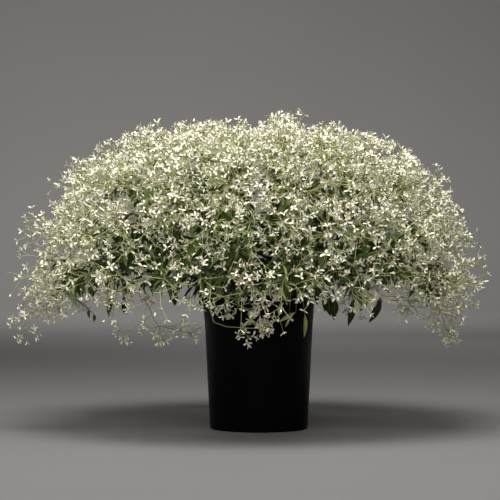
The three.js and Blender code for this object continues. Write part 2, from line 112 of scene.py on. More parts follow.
# Habit
STEMS = 16
TIPS_PER_STEM = 16
GOLDEN_ANGLE = math.pi * (3 - math.sqrt(5))
LOW_CROWDING = 1.05
SEED = 57
STEM_FORK = 0.48
FORKS = [0.64, 0.75, 0.855]
FORK_SPREAD = (0.97, 1.03)
TIP_SHARES = (0.93, 1.0)
SPRAY_VIGOUR = (0.95, 1.04)
WANDER = 5
TIP_WANDER = 2
KEEPS_COURSE = 0.6
SIZE_SPREAD = (0.85, 1.15)
WORD = 0xFFFFFFFF

# Leafy stems
STEM_RADIUS = 2.4
STEM_TOP_RADIUS = 1.7
STEM_PITCHES = 6
STEM_RING = (14, 47)
STEM_RISE = 62
STEM_LEAN = 24
STEM_ZIGZAG = 1.5
ARM_LENGTH = 20
LEAF_LENGTH = 44
LEAF_WIDTH = 12
LEAF_SHOULDER = 0.25
PETIOLE = 9
PETIOLE_RADIUS = 0.8
LEAF_CLEARANCE = 1.5
LEAF_LEAN = 0.8
LEAF_SAG = (0, 0.35)
LEVEL_SAG = 0.9
LEAF_TRIES = 12
LEAF_TRY_TURN = 0.5
SHORT_LEAF = 0.75
LIP_CLEARANCE = 14
LEAST_AHEAD = 0.36
FIRST_PAIR = 2

# Flower sprays of the solids
SPRAY_RADII = [1.35, 1.15, 1.0, 0.85]
PEDICEL_RADIUS = 0.75
BLOOM_REACH = 15.5
DRAWS_PER_STEM = 20
STEM_TOP_DRAWS = 500

# Twigs
TWIG_RADII = [0.62, 0.52, 0.44, 0.38, 0.34]
TWIG_START = 0.3
LOW_TWIG_START = 0.1
TWIG_SHARES = [0.32, 0.28, 0.24, 0.21]
LOW_TWIG_LENGTHS = (11, 9, 7.5)
FORK_TWIG_LENGTHS = (10, 8, 6.5)
TIP_VIGOUR = (0.8, 1.0)
TWIG_ANGLES = (24, 42)
TWIG_UNEVEN = (0.78, 1.22)
PLANE_TURN = (65, 115)
SIDE_STALKS = (8, 20)
SIDE_STALK_SWELL = 1.1
JOINT_SWELL = 1.12
MISSING_TWIGS = 0.05
RED_FADE = 0.8

# Where the growth is open: low down, and at the far sides
SPARSE_HEIGHTS = (165, 290)
OPEN_REACHES = (320, 180)
OPEN_DEPTH_SHARE = 0.6
LEAST_FULLNESS = 0.3
LEAST_LEAVES = 0.25
# Leaves at the far sides are painted no darker than this tone: painted light on the open flanks.
OPEN_TONE = 0.58

# How light falls off from the top of the mound to its foot. Leaves and bracts are painted from it, darker
# below as painted shade.
DARK_HEIGHT = 170
LIGHT_OVER = 230
BRIGHT = 0.45

# Blooms, each a cup with its bracts. Tilts are in degrees away from the stalk, turns in radians
# about it.
BRACT_LENGTH = 7.2
BRACT_WIDTH = 2.9
BRACT_THICKNESS = 0.045
BRACT_LENGTHS = (0.78, 1.12)
BRACT_WIDTHS = (0.85, 1.12)
BRACT_FOOT = 0.35
BLOOM_TURNS = (-0.3, 0.3)
BRACT_TURNS = (-0.22, 0.22)
OPEN_TILTS = (38, 82)
PAIR_TILTS = (22, 62)
BRACT_TILTS = (-12, 12)
BRACT_SHADES = (-0.2, 0.2)
BRIGHT_BRACTS = (2, 3, 3, 4)
DIM_BRACTS = (2, 2, 3)
BLOOM_SIZES = (0.85, 1.15)
CUP_LENGTH = 2.1
CUP_WIDTH = 1.8
FORK_BLOOM_STALK = 2.6
FORK_BLOOM_SIZES = (0.8, 1.05)
FORK_BLOOM_CHANCES = (0.25, 0.75)

# Leaves of the visual alone. Pairs at forks are rows of length and width. The sizes of those that
# fill the branches go from dark places to light ones.
LEAF_THICKNESS = 0.012
FORK_LEAVES = [(26, 7), (20, 5.5), (15, 4.2)]
TIP_LEAVES = (12, 3.6)
FILL_SPACING = 9
HEART_SPACING = 6
HEART_LENGTH = (36, 56)
FILL_LENGTH = (22, 38)
FILL_WIDTH_SHARE = 0.28
FILL_SIZES = (1.15, 0.55)
FILL_TONES = (0.45, 1.05)
FILL_STEPS = (0.8, 1.3)
FILL_PETIOLE = 3
FILL_PETIOLE_RADII = (0.5, 0.45)

# The eye from which the places of hanging growth are given, and the camera's place
EYE = np.array([-12.3, -2490.0, 249.0])
CAMERA_LENS = 128.1
SENSOR_WIDTH = 36

# Leaves that hang free, as rows of foot across and up, tip across and up, depth, width and tone.
# Places are as seen from the front in the upright plane through the pot's axis.
# A tone goes into the leaf's colour, from near black to yellow-green, partly the leaf's own colour, partly
# painted shade under the mound and painted light at the front.
HANGING_LEAVES = [
    (106.7, 181, 105.3, 150.8, -90, 11, 0.03),
    (97, 187, 100, 156, -95, 11, 0.02),
    (89, 185, 93, 162, -92, 9, 0.03),
    (131.9, 183, 130.5, 141, -60, 12, 0.02),
    (161.3, 186, 139, 162, -80, 9, 0.4),
    (171, 183, 155.7, 145.6, -50, 11, 0.03),
    (-201.3, 187, -212.5, 155.8, -60, 10, 0.03),
    (-189.3, 185, -188.2, 159, -40, 8, 0.02),
    (-237.7, 166.2, -237.7, 153.6, -40, 5, 0.05),
    (-230.7, 159.2, -230.7, 148, -30, 5, 0.05),
    (-117.3, 193.4, -117.3, 169.4, -110, 9, 0.05),
    (-75, 200, -84, 172, -104, 9, 0.02),
    (-62, 204, -66, 172, -110, 10, 0.03),
    (-47, 203, -41, 174, -112, 10, 0.02),
    (-28, 205, -33, 173, -116, 10, 0.04),
    (-12, 204, -6, 175, -114, 11, 0.02),
    (9, 205, 4, 172, -116, 10, 0.03),
    (25, 204, 31, 174, -112, 11, 0.02),
    (44, 205, 40, 172, -112, 10, 0.04),
    (60, 204, 68, 173, -108, 10, 0.02),
    (77, 201, 83, 172, -102, 9, 0.03),
    (52.1, 162, 28.3, 149.4, -150, 5.5, 0.92),
    (64.1, 160, 67.5, 126.1, -145, 6, 0.95),
    (42.3, 152.2, 36.7, 141, -148, 3.5, 0.9),
    (-52, 293, -60, 270, -245, 8, 0.4),
    (-62, 290, -54, 270, -240, 7, 0.32),
    (44, 288, 53, 272, -250, 8, 0.5),
    (-84, 257, -106, 243, -262, 8, 0.42),
]
HANGING_STALK_RADII = (0.9, 0.55)
HANGING_STALK_REDNESS = 0.6

# Sprays that hang free, as rows of the stem's places, the places of its bunches, its depth and redness
HANGING_SPRAYS = [
    ([(-68.3, 192.8), (-63, 148), (-24, 140)], [(-12, 147), (-20, 132), (2, 139)], -215, 0.1),
    ([(-58, 196), (-44, 178), (-24, 170)], [(-48, 168), (-30, 173), (-16, 177), (-12, 163)], -200, 0.15),
    ([(-4, 196), (8, 170)], [(10, 154), (22, 176)], -205, 0.15),
    (
        [(-264.3, 197), (-299.3, 171.8), (-326, 154)],
        [(-312, 178), (-318, 166), (-334, 150), (-306, 166), (-323, 133), (-288, 174)],
        -45,
        0.7,
    ),
    (
        [(-159.3, 178.8), (-150, 158), (-141.1, 143)],
        [(-150, 136), (-134, 134), (-112, 142), (-98, 134), (-186, 134)],
        -140,
        0.85,
    ),
    (
        [(99.7, 184.4), (170, 178), (239.7, 178.8), (253.7, 164.8)],
        [
            (252, 172), (264, 160), (250, 150), (272, 150), (262, 138),
            (280, 164), (290, 176), (268, 128), (214, 168),
        ],
        -55,
        0.75,
    ),
    ([(120, 186), (190, 184), (222, 180)], [(196, 176), (212, 172), (232, 190)], -30, 0.7),
]
HANGING_STEM_RADII = (0.65, 0.4)
BUNCH_LENGTHS = (7.5, 6.5, 5.5)
# The light of hanging bunches, also painted into their bracts as painted light.
BUNCH_LIGHT = 0.85

# Studio, in metres. Lights are rows of name, place, target, size, power in watts and spread in degrees.
FLOOR_RADIUS = 5
SWEEP_RADIUS = 1.5
WALL_TOP = 6
SWEEP_STEPS = 16
SWEEP_SIDES = 128
LIGHTS = [
    ("overhead", (-0.12, -0.68, 1.75), (0, 0, 0.2), (1.2, 0.8), 51, 180),
    ("front", (-0.5, -2.6, 0.8), (0, 0, 0.28), (1.2, 0.8), 11, 180),
    ("back", (0.5, 2.4, 1.1), (0, 0, 0.3), (1.2, 0.8), 6, 180),
    ("backdrop", (-0.5, 3.2, 3.4), (-0.2, 5.5, 0.2), (3.0, 2.0), 84, 116),
]
SKY_COLOUR = (0.9, 0.95, 1.0, 1)
SKY_STRENGTH = 0.06

# Families of shapes that are placed on points
BRACT, CUP, LEAF = range(3)


def unit(v):
    return v / math.sqrt(v @ v)


def cross(a, b):
    ax, ay, az = a
    bx, by, bz = b
    return np.array([ay * bz - az * by, az * bx - ax * bz, ax * by - ay * bx])


def towards(start, end):
    return unit(end - start)


def lerp(a, b, t):
    return a + (b - a) * t


def clamped(value):
    return min(1, max(0, value))


def share_of(value, low, high):
    """How far a value is from the low limit to the high one."""
    return (value - low) / (high - low)


def draw(piece, feature):
    """A repeatable value from 0 to 1 for one feature of one piece."""
    h = (piece * 374761393 + feature * 668265263 + SEED) & WORD
    h = ((h ^ (h >> 15)) * 2246822507) & WORD
    h = ((h ^ (h >> 13)) * 3266489909) & WORD
    return (h ^ (h >> 16)) / (WORD + 1)


def draw_between(limits, piece, feature):
    return lerp(*limits, draw(piece, feature))


def wander(piece, size):
    """A small repeatable sideways step for one piece."""
    return (np.array([draw(piece, feature) for feature in (1, 2, 3)]) - 0.5) * 2 * size


def reach(way):
    """How far the mound reaches from its crown along a direction."""
    level = math.hypot(way[0], way[1]) or 1
    right = 0.5 + 0.5 * way[0] / level
    elevation = math.degrees(math.asin(max(-1.0, min(1.0, way[2]))))
    angle = max(LOWEST_ANGLE, min(90, elevation))
    left_reach, right_reach = (np.interp(angle, *zip(*rows)) for rows in (REACH_LEFT, REACH_RIGHT))
    return lerp(left_reach, right_reach, right) * (1 + (DEPTH_SHARE - 1) * abs(way[1]))


def outward(way, share):
    """The point a share of the way out along a direction. Low branches arch up and come down."""
    arch = ARCH * 4 * share * (1 - share) * math.hypot(way[0], way[1])
    return CROWN + way * reach(way) * share + UP * arch


def tip_directions():
    """A golden-angle spiral from the skirt of the mound to its top."""
    low = math.sin(math.radians(LOWEST_ANGLE))
    count = STEMS * TIPS_PER_STEM
    ways = []
    for i in range(count):
        z = low + (1 - low) * ((i + 0.5) / count) ** LOW_CROWDING
        level = math.sqrt(1 - z * z)
        turn = i * GOLDEN_ANGLE
        ways.append(np.array([level * math.cos(turn), level * math.sin(turn), z]))
    return ways


def middle(ways):
    return unit(sum(ways))


def halve(ways):
    """Splits a group of directions in two across its longer side."""
    m = middle(ways)
    across = np.array([1.0, 0.0, 0.0]) if m[2] > 0.9 else unit(cross(UP, m))
    along = cross(m, across)

    def spread(axis):
        places = [way @ axis for way in ways]
        return max(places) - min(places)

    axis = across if spread(across) > spread(along) else along
    ranked = sorted(ways, key=lambda way: way @ axis)
    half = len(ranked) // 2
    return ranked[:half], ranked[half:]


def halve_to(ways, size):
    if len(ways) <= size:
        return [ways]
    return [group for half in halve(ways) for group in halve_to(half, size)]


@dataclass(eq=False)
class Joint:
    """A point of the plant, with what grows on from it. A bloom is its reach. A leaf is the way that
    it hangs and its size."""

    at: np.ndarray
    radius: float
    kids: list = field(default_factory=list)
    bloom: float = 0
    leaf: tuple = ()
    level: int = -1
    way: np.ndarray = None


@dataclass(eq=False)
class Stem:
    """One leafy stem: its foot, the joints up to its fork, and the sprays that its arms lead to."""

    index: int
    root: Joint
    pitches: list
    sprays: list
    way: np.ndarray


def spray_fork(ways, level, piece, vigour):
    """One fork of a spray and all that it carries. Vigour lets whole sprays reach further."""
    way = middle(ways)
    if len(ways) == 1:
        share = vigour * draw_between(TIP_SHARES, piece, 4)
        at = outward(ways[0], share) + wander(piece, TIP_WANDER)
        return Joint(at, PEDICEL_RADIUS, bloom=BLOOM_REACH * draw_between(SIZE_SPREAD, piece, 5), way=way)
    share = vigour * FORKS[level] * draw_between(FORK_SPREAD, piece, 7)
    at = outward(way, share) + wander(piece, WANDER / (level + 1))
    kids = [spray_fork(half, level + 1, 2 * piece + i, vigour) for i, half in enumerate(halve(ways))]
    return Joint(at, SPRAY_RADII[level + 1], kids, level=level, way=way)


def stem_line(way, index):
    """The line of one stem, from the soil up and over to its fork, as a function of its length."""
    level = math.hypot(way[0], way[1])
    side = np.array([way[0], way[1], 0.0]) / (level or 1)
    foot = side * lerp(*STEM_RING, level) + UP * (SOIL_TOP + SOIL_CROWN + 1)
    bend = foot + side * STEM_LEAN * level + UP * STEM_RISE
    top = outward(way, STEM_FORK) + wander(index + STEM_TOP_DRAWS, WANDER)
    return lambda t: foot * (1 - t) ** 2 + bend * 2 * t * (1 - t) + top * t ** 2


def grow_stem(ways, index):
    """A stem's own line of joints, and the two sprays that its arms lead to."""
    way = middle(ways)
    line = stem_line(way, index)
    pitches = []
    for i in range(STEM_PITCHES + 1):
        t = i / STEM_PITCHES
        zigzag = STEM_ZIGZAG if 0 < i < STEM_PITCHES else 0
        at = line(t) + wander(index * DRAWS_PER_STEM + i, zigzag)
        pitches.append(Joint(at, lerp(STEM_RADIUS, STEM_TOP_RADIUS, t)))
    foot = pitches[0].at
    root = Joint(np.array([foot[0], foot[1], SOIL_TOP - HOLE_DEPTH + SOIL_GAP]), STEM_RADIUS, [pitches[0]])
    for below, above in zip(pitches, pitches[1:]):
        below.kids.append(above)
    fork = pitches[-1]
    sprays = []
    for i, half in enumerate(halve(ways)):
        piece = 2 * (index + STEMS) + i
        crown = spray_fork(half, 0, piece, draw_between(SPRAY_VIGOUR, piece, 10))
        heading = towards(fork.at, crown.at)
        cut = fork.at + heading * ARM_LENGTH
        fork.kids.append(Joint(cut, SPRAY_RADII[0]))
        sprays.append(Joint(cut + heading * SOIL_GAP, SPRAY_RADII[0], [crown]))
    return Stem(index, root, pitches, sprays, way)


class Taken:
    """The room that is used up, as thick lines, each with the joints that it ends at."""

    def __init__(self):
        self.starts = []
        self.ends = []
        self.radii = []
        self.meets = {}

    def add(self, start, end, radius, joints=()):
        for joint in joints:
            self.meets.setdefault(joint, []).append(len(self.radii))
        self.starts.append(start)
        self.ends.append(end)
        self.radii.append(radius)

    def add_below(self, joint):
        for kid in joint.kids:
            self.add(joint.at, kid.at, max(joint.radius, kid.radius), (joint, kid))
            if kid.bloom:
                self.add(kid.at, kid.at, kid.bloom, (kid,))
            self.add_below(kid)

    def leaves_free(self, start, end, radius, joint=None):
        """True if a thick line is clear of all that is taken, apart from what meets it at a joint."""
        gaps = distances(start, end, np.array(self.starts), np.array(self.ends))
        gaps -= np.array(self.radii) + radius + LEAF_CLEARANCE
        gaps[self.meets.get(joint, [])] = math.inf
        return gaps.min() > 0


def distances(a0, a1, starts, ends):
    """The least distances between one line segment and many."""
    u = a1 - a0
    v = ends - starts
    w = a0 - starts
    uu = u @ u
    uv = v @ u
    vv = (v * v).sum(1)
    uw = w @ u
    vw = (v * w).sum(1)
    flat = uu * vv - uv * uv
    crossing = np.clip((uv * vw - vv * uw) / np.where(flat > 1e-9, flat, 1), 0, 1)
    s = np.where(flat > 1e-9, crossing, 0)
    t = np.where(vv > 1e-9, np.clip((uv * s + vw) / np.where(vv > 1e-9, vv, 1), 0, 1), 0)
    s = np.clip((uv * t - uw) / uu, 0, 1)
    return np.linalg.norm(w + np.outer(s, u) - v * t[:, None], axis=1)


def facing(node, start):
    """The way a stem faces at a joint, between its way in and the middle of its ways out."""
    heading = towards(start, node.at)
    out = sum(towards(node.at, kid.at) for kid in node.kids)
    return unit(unit(out) + heading * KEEPS_COURSE)


def square_to(heading):
    """Two directions square to a heading and to each other, the first of them level."""
    level = cross(heading, UP)
    if level @ level < 1e-4:
        level = np.array([1.0, 0.0, 0.0])
    level = unit(level)
    return level, cross(level, heading)


def square_part(v, axis):
    """The part of a direction that is square to an axis, at unit length."""
    flat = v - axis * (v @ axis)
    return unit(flat) if flat @ flat > 1e-6 else square_to(axis)[0]


def turned_about(v, axis, degrees):
    """A direction turned about an axis that is square to it."""
    angle = math.radians(degrees)
    return v * math.cos(angle) + cross(axis, v) * math.sin(angle)


def add_leaf(node, heading, turn, piece, taken):
    """Puts one leaf on a joint, turned and at last shortened until it is clear of everything."""
    full_size = draw_between(SIZE_SPREAD, piece, 8)
    slack = draw_between(LEAF_SAG, piece, 9)
    level, over = square_to(heading)
    for tries in range(LEAF_TRIES):
        size = full_size if tries < LEAF_TRIES / 2 else SHORT_LEAF * full_size
        angle = turn + tries * LEAF_TRY_TURN
        out = unit(heading * LEAF_LEAN + level * math.cos(angle) + over * math.sin(angle))
        hang = unit(out - UP * (slack + LEVEL_SAG * (1 - abs(heading[2]))))
        neck = node.at + out * PETIOLE * size
        tip = neck + hang * LEAF_LENGTH * size
        base = lerp(neck, tip, LEAF_SHOULDER)
        half_width = LEAF_WIDTH / 2 * size
        if towards(node.at, base) @ heading <= LEAST_AHEAD or not clear_of_lip(neck, tip):
            continue
        if not taken.leaves_free(base, tip, half_width):
            continue
        if taken.leaves_free(node.at, base, PETIOLE_RADIUS, node):
            node.kids.append(Joint(neck, PETIOLE_RADIUS, leaf=(hang, size)))
            taken.add(base, tip, half_width)
            taken.add(node.at, base, PETIOLE_RADIUS, (node,))
            return


def clear_of_lip(neck, tip):
    """True if a leaf stays above the pot's lip or well outside it."""
    for t in (0, 0.5, 1):
        x, y, z = lerp(neck, tip, t)
        above = z > POT_HEIGHT + LEAF_WIDTH / 2
        if not above and math.hypot(x, y) <= POT_TOP_RADIUS + LIP_CLEARANCE:
            return False
    return True


def leaf_out(stem, taken):
    """Leaves go on each stem's joints, single low down in a spiral, and in opposite pairs above."""
    for i, node in enumerate(stem.pitches[1:-1]):
        heading = facing(node, stem.pitches[i].at)
        turn = (stem.index + i) * GOLDEN_ANGLE
        piece = stem.index * DRAWS_PER_STEM + 2 * i
        add_leaf(node, heading, turn, piece, taken)
        if len(node.kids) >= 2 and i >= FIRST_PAIR:
            add_leaf(node, heading, turn + math.pi, piece + 1, taken)


def grow_plant():
    """All stems with their sprays and large leaves, as the solids have them."""
    groups = halve_to(tip_directions(), TIPS_PER_STEM)
    stems = [grow_stem(ways, index) for index, ways in enumerate(groups)]
    taken = Taken()
    for stem in stems:
        for joint in (stem.root, *stem.sprays):
            taken.add_below(joint)
    for stem in stems:
        leaf_out(stem, taken)
    return stems


class Growth:
    """What one piece of the plant is made of: lines of stem, and shapes placed on points."""

    def __init__(self):
        self.lines = []
        self.placed = []

    def line(self, points, radii, redness, stout=False, swell=1):
        """A stem along points. Its radius and redness change evenly from its start to its end, and
        its two ends may be swollen."""
        thickness = np.linspace(*radii, len(points))
        thickness[[0, -1]] *= swell
        self.lines.append((points, thickness, np.linspace(*redness, len(points)), stout))

    def put(self, family, kind, at, way, face, length, width, shade):
        """One shape, its length along one direction and its upper side towards another. A cup is as
        deep as it is wide, and a blade's thickness goes with its length."""
        depth = width if family == CUP else length
        self.placed.append((family, kind, at, turn_of(way, face), (length, width, depth), shade))

    def holder(self, name):
        """A mesh of bare edges and points that carries all of this as attributes, in metres."""
        places = []
        edges = []
        thickness = []
        redness = []
        stout = []
        for points, radii, reds, is_stout in self.lines:
            first = len(places)
            places.extend(points)
            edges.extend((first + i, first + i + 1) for i in range(len(points) - 1))
            thickness.extend(radii)
            redness.extend(reds)
            stout.extend([is_stout] * len(points))
        families, kinds, spots, turns, stretches, shades = zip(*self.placed)
        bare = len(places)
        count = len(spots)
        columns = [
            ("thickness", "FLOAT", "value", np.array(thickness + [0] * count) * MM),
            ("redness", "FLOAT", "value", redness + [0] * count),
            ("stout", "BOOLEAN", "value", stout + [False] * count),
            ("family", "INT", "value", [-1] * bare + list(families)),
            ("kind", "INT", "value", [0] * bare + list(kinds)),
            ("turn", "QUATERNION", "value", [(1, 0, 0, 0)] * bare + list(turns)),
            ("stretch", "FLOAT_VECTOR", "vector", np.array([(1, 1, 1)] * bare + list(stretches)) * MM),
            ("shade", "FLOAT", "value", [0.5] * bare + list(shades)),
        ]
        mesh = bpy.data.meshes.new(name)
        mesh.from_pydata(np.array([*places, *spots]) * MM, edges, [])
        for label, kind, slot, values in columns:
            data = mesh.attributes.new(label, kind, "POINT").data
            data.foreach_set(slot, np.array(values).ravel())
        return mesh


def turn_of(way, face):
    """The turn that lays a shape's length along one direction, its upper side towards another."""
    x = unit(way)
    y = unit(cross(face, x))
    return tuple(Matrix((x, y, cross(x, y))).transposed().to_quaternion())


def light_on(at, way):
    """How well lit a place is, from 0 deep under the mound to 1 at its top."""
    # This value is painted into the colours of bracts and leaves: painted shade low in the mound, painted
    # light at its top.
    height = (at[2] - DARK_HEIGHT) / LIGHT_OVER
    return clamped(0.5 + 0.55 * height + 0.1 * way[2])


def inwardness(at):
    """1 round the middle of the mound, falling to 0 at its far sides."""
    return clamped(share_of(math.hypot(at[0], at[1] * OPEN_DEPTH_SHARE), *OPEN_REACHES))


def smooth_line(points, steps):
    """A line through points, rounded between them."""
    held = [2 * points[0] - points[1], *points, 2 * points[-1] - points[-2]]
    line = []
    for before, a, b, after in zip(held, held[1:], held[2:], held[3:]):
        bend = 2 * before - 5 * a + 4 * b - after
        twist = 3 * a - before - 3 * b + after
        for i in range(steps):
            t = i / steps
            line.append(0.5 * (2 * a + (b - before) * t + bend * t ** 2 + twist * t ** 3))
    line.append(points[-1])
    return line


def branch_line(cloud, start, end, radii, redness, sag, steps=4):
    """A stretch of stem between two joints, bowed a little, and thicker at the joints."""
    bow = UP * sag * np.linalg.norm(end - start)
    shares = [i / steps for i in range(steps + 1)]
    points = [lerp(start, end, t) + bow * 4 * t * (1 - t) for t in shares]
    cloud.line(points, radii, redness, True, JOINT_SWELL)


def add_bloom(cloud, at, way, plane, bracts, size, light, rng):
    """A small green cup with its white bracts spread round it."""
    cloud.put(CUP, 0, at, way, plane, CUP_LENGTH * size, CUP_WIDTH * size, light)
    front = cross(way, plane)
    foot = at + way * CUP_LENGTH * BRACT_FOOT * size
    first = rng.uniform(*BLOOM_TURNS)
    tilt = rng.uniform(*(OPEN_TILTS if bracts > 2 else PAIR_TILTS))
    for i in range(bracts):
        angle = first + 2 * math.pi * i / bracts + rng.uniform(*BRACT_TURNS)
        side = plane * math.cos(angle) + front * math.sin(angle)
        lean = math.radians(tilt + rng.uniform(*BRACT_TILTS))
        out = way * math.cos(lean) + side * math.sin(lean)
        face = way * math.sin(lean) - side * math.cos(lean)
        length = BRACT_LENGTH * size * rng.uniform(*BRACT_LENGTHS)
        width = BRACT_WIDTH * size * rng.uniform(*BRACT_WIDTHS)
        # The bract's colour takes the light of its place with a random spread: painted shade low in the
        # mound, painted light at its top.
        shade = clamped(light + rng.uniform(*BRACT_SHADES))
        cloud.put(BRACT, rng.randrange(3), foot, out, face, length, width, shade)


def fork_side(way, plane, side, rng):
    """One direction of a fork, in the fork's plane, and the fork's front made square to it."""
    front = cross(way, plane)
    kid = turned_about(way, front, -side * rng.uniform(*TWIG_ANGLES))
    return kid, square_part(front, kid)


def add_twig(cloud, at, way, plane, lengths, light, redness, rng):
    """A twig and the fork at its end, down to the blooms at the last."""
    level = len(TWIG_RADII) - len(lengths)
    length = lengths[0] * rng.uniform(*TWIG_UNEVEN)
    end = at + way * length
    cloud.line([at, end], TWIG_RADII[level - 1:level + 1], (redness, redness * RED_FADE))
    rest = lengths[1:]
    if not rest:
        bracts = rng.choice(BRIGHT_BRACTS if light > BRIGHT else DIM_BRACTS)
        add_bloom(cloud, end, way, plane, bracts, rng.uniform(*BLOOM_SIZES), light, rng)
        return
    if rng.random() < lerp(*FORK_BLOOM_CHANCES, light) and len(rest) < 3:
        out = unit(way + cross(way, plane) * rng.uniform(-0.6, 0.6))
        bloom_at = end + out * FORK_BLOOM_STALK
        cloud.line([end, bloom_at], TWIG_RADII[-1:] * 2, [redness * 0.6] * 2)
        side = square_part(cross(way, plane), out)
        add_bloom(cloud, bloom_at, out, side, 2, rng.uniform(*FORK_BLOOM_SIZES), light, rng)
    for side in (-1, 1):
        if len(rest) < 3 and rng.random() < MISSING_TWIGS:
            continue
        kid, across = fork_side(way, plane, side, rng)
        next_plane = turned_about(across, kid, rng.uniform(*PLANE_TURN) - 90)
        add_twig(cloud, end, kid, next_plane, rest, light, redness * RED_FADE, rng)


def add_fork(cloud, at, way, plane, lengths, light, redness, rng):
    """Two twigs that part in a plane."""
    for side in (-1, 1):
        kid, next_plane = fork_side(way, plane, side, rng)
        add_twig(cloud, at, kid, next_plane, lengths, light, redness, rng)


def side_spray(cloud, at, way, plane, stalk, lengths, light, redness, rng):
    """A small spray on a stalk of its own."""
    end = at + way * stalk
    cloud.line([at, end], (TWIG_RADII[0] * SIDE_STALK_SWELL, TWIG_RADII[0]), (redness, redness * RED_FADE))
    add_fork(cloud, end, way, plane, lengths, light, redness * RED_FADE, rng)


def add_leaf_pair(cloud, at, way, plane, length, width, shade, rng):
    """Two small leaves opposite each other at a fork, square to the plane of the fork."""
    front = cross(way, plane)
    for side in (-1, 1):
        size = rng.uniform(0.75, 1.2)
        spread = rng.uniform(0.7, 1.5)
        out = unit(front * side * spread + way + plane * rng.uniform(-0.3, 0.3))
        hang = unit(out - UP * rng.uniform(0.1, 0.6))
        face = square_part(UP + way * 0.4, hang)
        # The tone paints the light at the fork into both leaves, with a random spread: painted light and
        # shade.
        tone = shade + rng.uniform(-0.15, 0.15)
        cloud.put(LEAF, rng.randrange(3, 6), at, hang, face, length * size, width * size, tone)


def fill_leaves(cloud, start, end, spacing, lengths, rng):
    """Pairs of leaves along a branch, each pair square to the last. They are painted darker the lower they
    hang, as painted shade, smaller and painted yellower near the top, as painted light, and few and painted
    paler at the far sides, as painted light."""
    way = towards(start, end)
    length = np.linalg.norm(end - start)
    level, over = square_to(way)
    turn = rng.uniform(0, math.pi)
    travelled = spacing * rng.uniform(0.3, 0.9)
    while travelled < length:
        at = start + way * travelled
        light = light_on(at, way)
        inward = inwardness(at)
        turn += math.radians(rng.uniform(*PLANE_TURN))
        for side in (0, math.pi):
            out = level * math.cos(turn + side) + over * math.sin(turn + side)
            hang = unit(out + way * rng.uniform(0.2, 0.9) - UP * rng.uniform(0.0, 0.7))
            size = rng.uniform(*lengths) * lerp(*FILL_SIZES, light)
            if hang[2] < 0 and not clear_of_lip(at, at + hang * size):
                continue
            if rng.random() > LEAST_LEAVES + inward:
                continue
            face = square_part(UP + way * 0.3, hang)
            # The tone is painted light and shade: the cube of the light, lifted at the far sides.
            tone = max(light ** 3 * rng.uniform(*FILL_TONES), OPEN_TONE * (1 - inward))
            neck = at + hang * FILL_PETIOLE
            cloud.line([at, neck], FILL_PETIOLE_RADII, (0.3, 0.2))
            cloud.put(LEAF, rng.randrange(3, 6), neck, hang, face, size, size * FILL_WIDTH_SHARE, tone)
        travelled += spacing * rng.uniform(*FILL_STEPS)


def dress_fork(cloud, node, start, redness, rng):
    """The fine growth of one fork of a spray and of everything beyond it."""
    heading = facing(node, start)
    first, second = (towards(node.at, kid.at) for kid in node.kids)
    plane = square_part(second - first, heading)
    front = cross(heading, plane)
    light = light_on(node.at, node.way)
    # Leaves here are painted from the square of the light, and side sprays a little darker: painted shade.
    add_leaf_pair(cloud, node.at, heading, plane, *FORK_LEAVES[node.level], light ** 2, rng)
    for side in (-1, 1):
        out = unit(front * side * rng.uniform(0.7, 1.1) + heading * 0.8 + plane * rng.uniform(-0.3, 0.3))
        stalk = rng.uniform(*SIDE_STALKS)
        side_spray(cloud, node.at, out, plane, stalk, FORK_TWIG_LENGTHS, light * 0.9, redness, rng)
    for kid in node.kids:
        if kid.bloom:
            dress_tip(cloud, node, kid, redness, rng)
            continue
        fill_leaves(cloud, node.at, kid.at, FILL_SPACING, FILL_LENGTH, rng)
        reds = (redness, redness * 0.75)
        branch_line(cloud, node.at, kid.at, (node.radius, kid.radius), reds, rng.uniform(-0.04, 0.06))
        dress_fork(cloud, kid, node.at, redness * 0.75, rng)


def dress_tip(cloud, node, tip, redness, rng):
    """The fine fork on fork of twigs that ends in the blooms of one tip."""
    way = towards(node.at, tip.at)
    length = np.linalg.norm(tip.at - node.at)
    start = node.at + way * length * TWIG_START
    light = light_on(tip.at, tip.way)
    radii = (node.radius, TWIG_RADII[0])
    cloud.line([node.at, start], radii, (redness, redness * RED_FADE), swell=JOINT_SWELL)
    plane = turned_about(square_to(way)[0], way, rng.uniform(0, 180))
    add_leaf_pair(cloud, start, way, plane, *TIP_LEAVES, light, rng)
    fullness = min(share_of(tip.at[2], *SPARSE_HEIGHTS), LEAST_FULLNESS + inwardness(tip.at))
    forks = 2 + sum(rng.random() < fullness for _ in range(2))
    used = TWIG_SHARES[:forks]
    stretch = rng.uniform(*TIP_VIGOUR) * length * sum(TWIG_SHARES) / sum(used)
    front = cross(way, plane)
    low_start = node.at + way * length * LOW_TWIG_START
    for side in (-1, 1):
        if rng.random() < fullness:
            out = unit(plane * side + way + front * rng.uniform(-0.3, 0.3))
            low_plane = square_part(front, out)
            add_twig(cloud, low_start, out, low_plane, LOW_TWIG_LENGTHS, light, redness, rng)
    add_fork(cloud, start, way, plane, [share * stretch for share in used], light, redness * 0.7, rng)


def seen_at(across, up, depth):
    """The point at a depth that looks as far across and up as a place in the plane of the pot's axis."""
    return lerp(EYE, np.array([across, 0.0, up]), (depth - EYE[1]) / -EYE[1])


def joints_below(joint):
    """All joints that grow from one and can carry more growth."""
    found = []
    for kid in joint.kids:
        if kid.kids:
            found += [kid, *joints_below(kid)]
    return found


def share_out(stems):
    """The hanging leaves and sprays of each stem, every one with the joint that is nearest to it."""
    holders = [(stem, node) for stem in stems for node in stem.pitches[3:]]
    holders += [(stem, node) for stem in stems for spray in stem.sprays for node in joints_below(spray)]
    feet = [(0, row, seen_at(*row[:2], row[4])) for row in HANGING_LEAVES]
    feet += [(1, row, seen_at(*row[0][0], row[2])) for row in HANGING_SPRAYS]
    shares = {stem.index: ([], []) for stem in stems}
    for which, row, foot in feet:
        stem, node = min(holders, key=lambda pair: np.linalg.norm(pair[1].at - foot))
        shares[stem.index][which].append((node, row))
    return shares


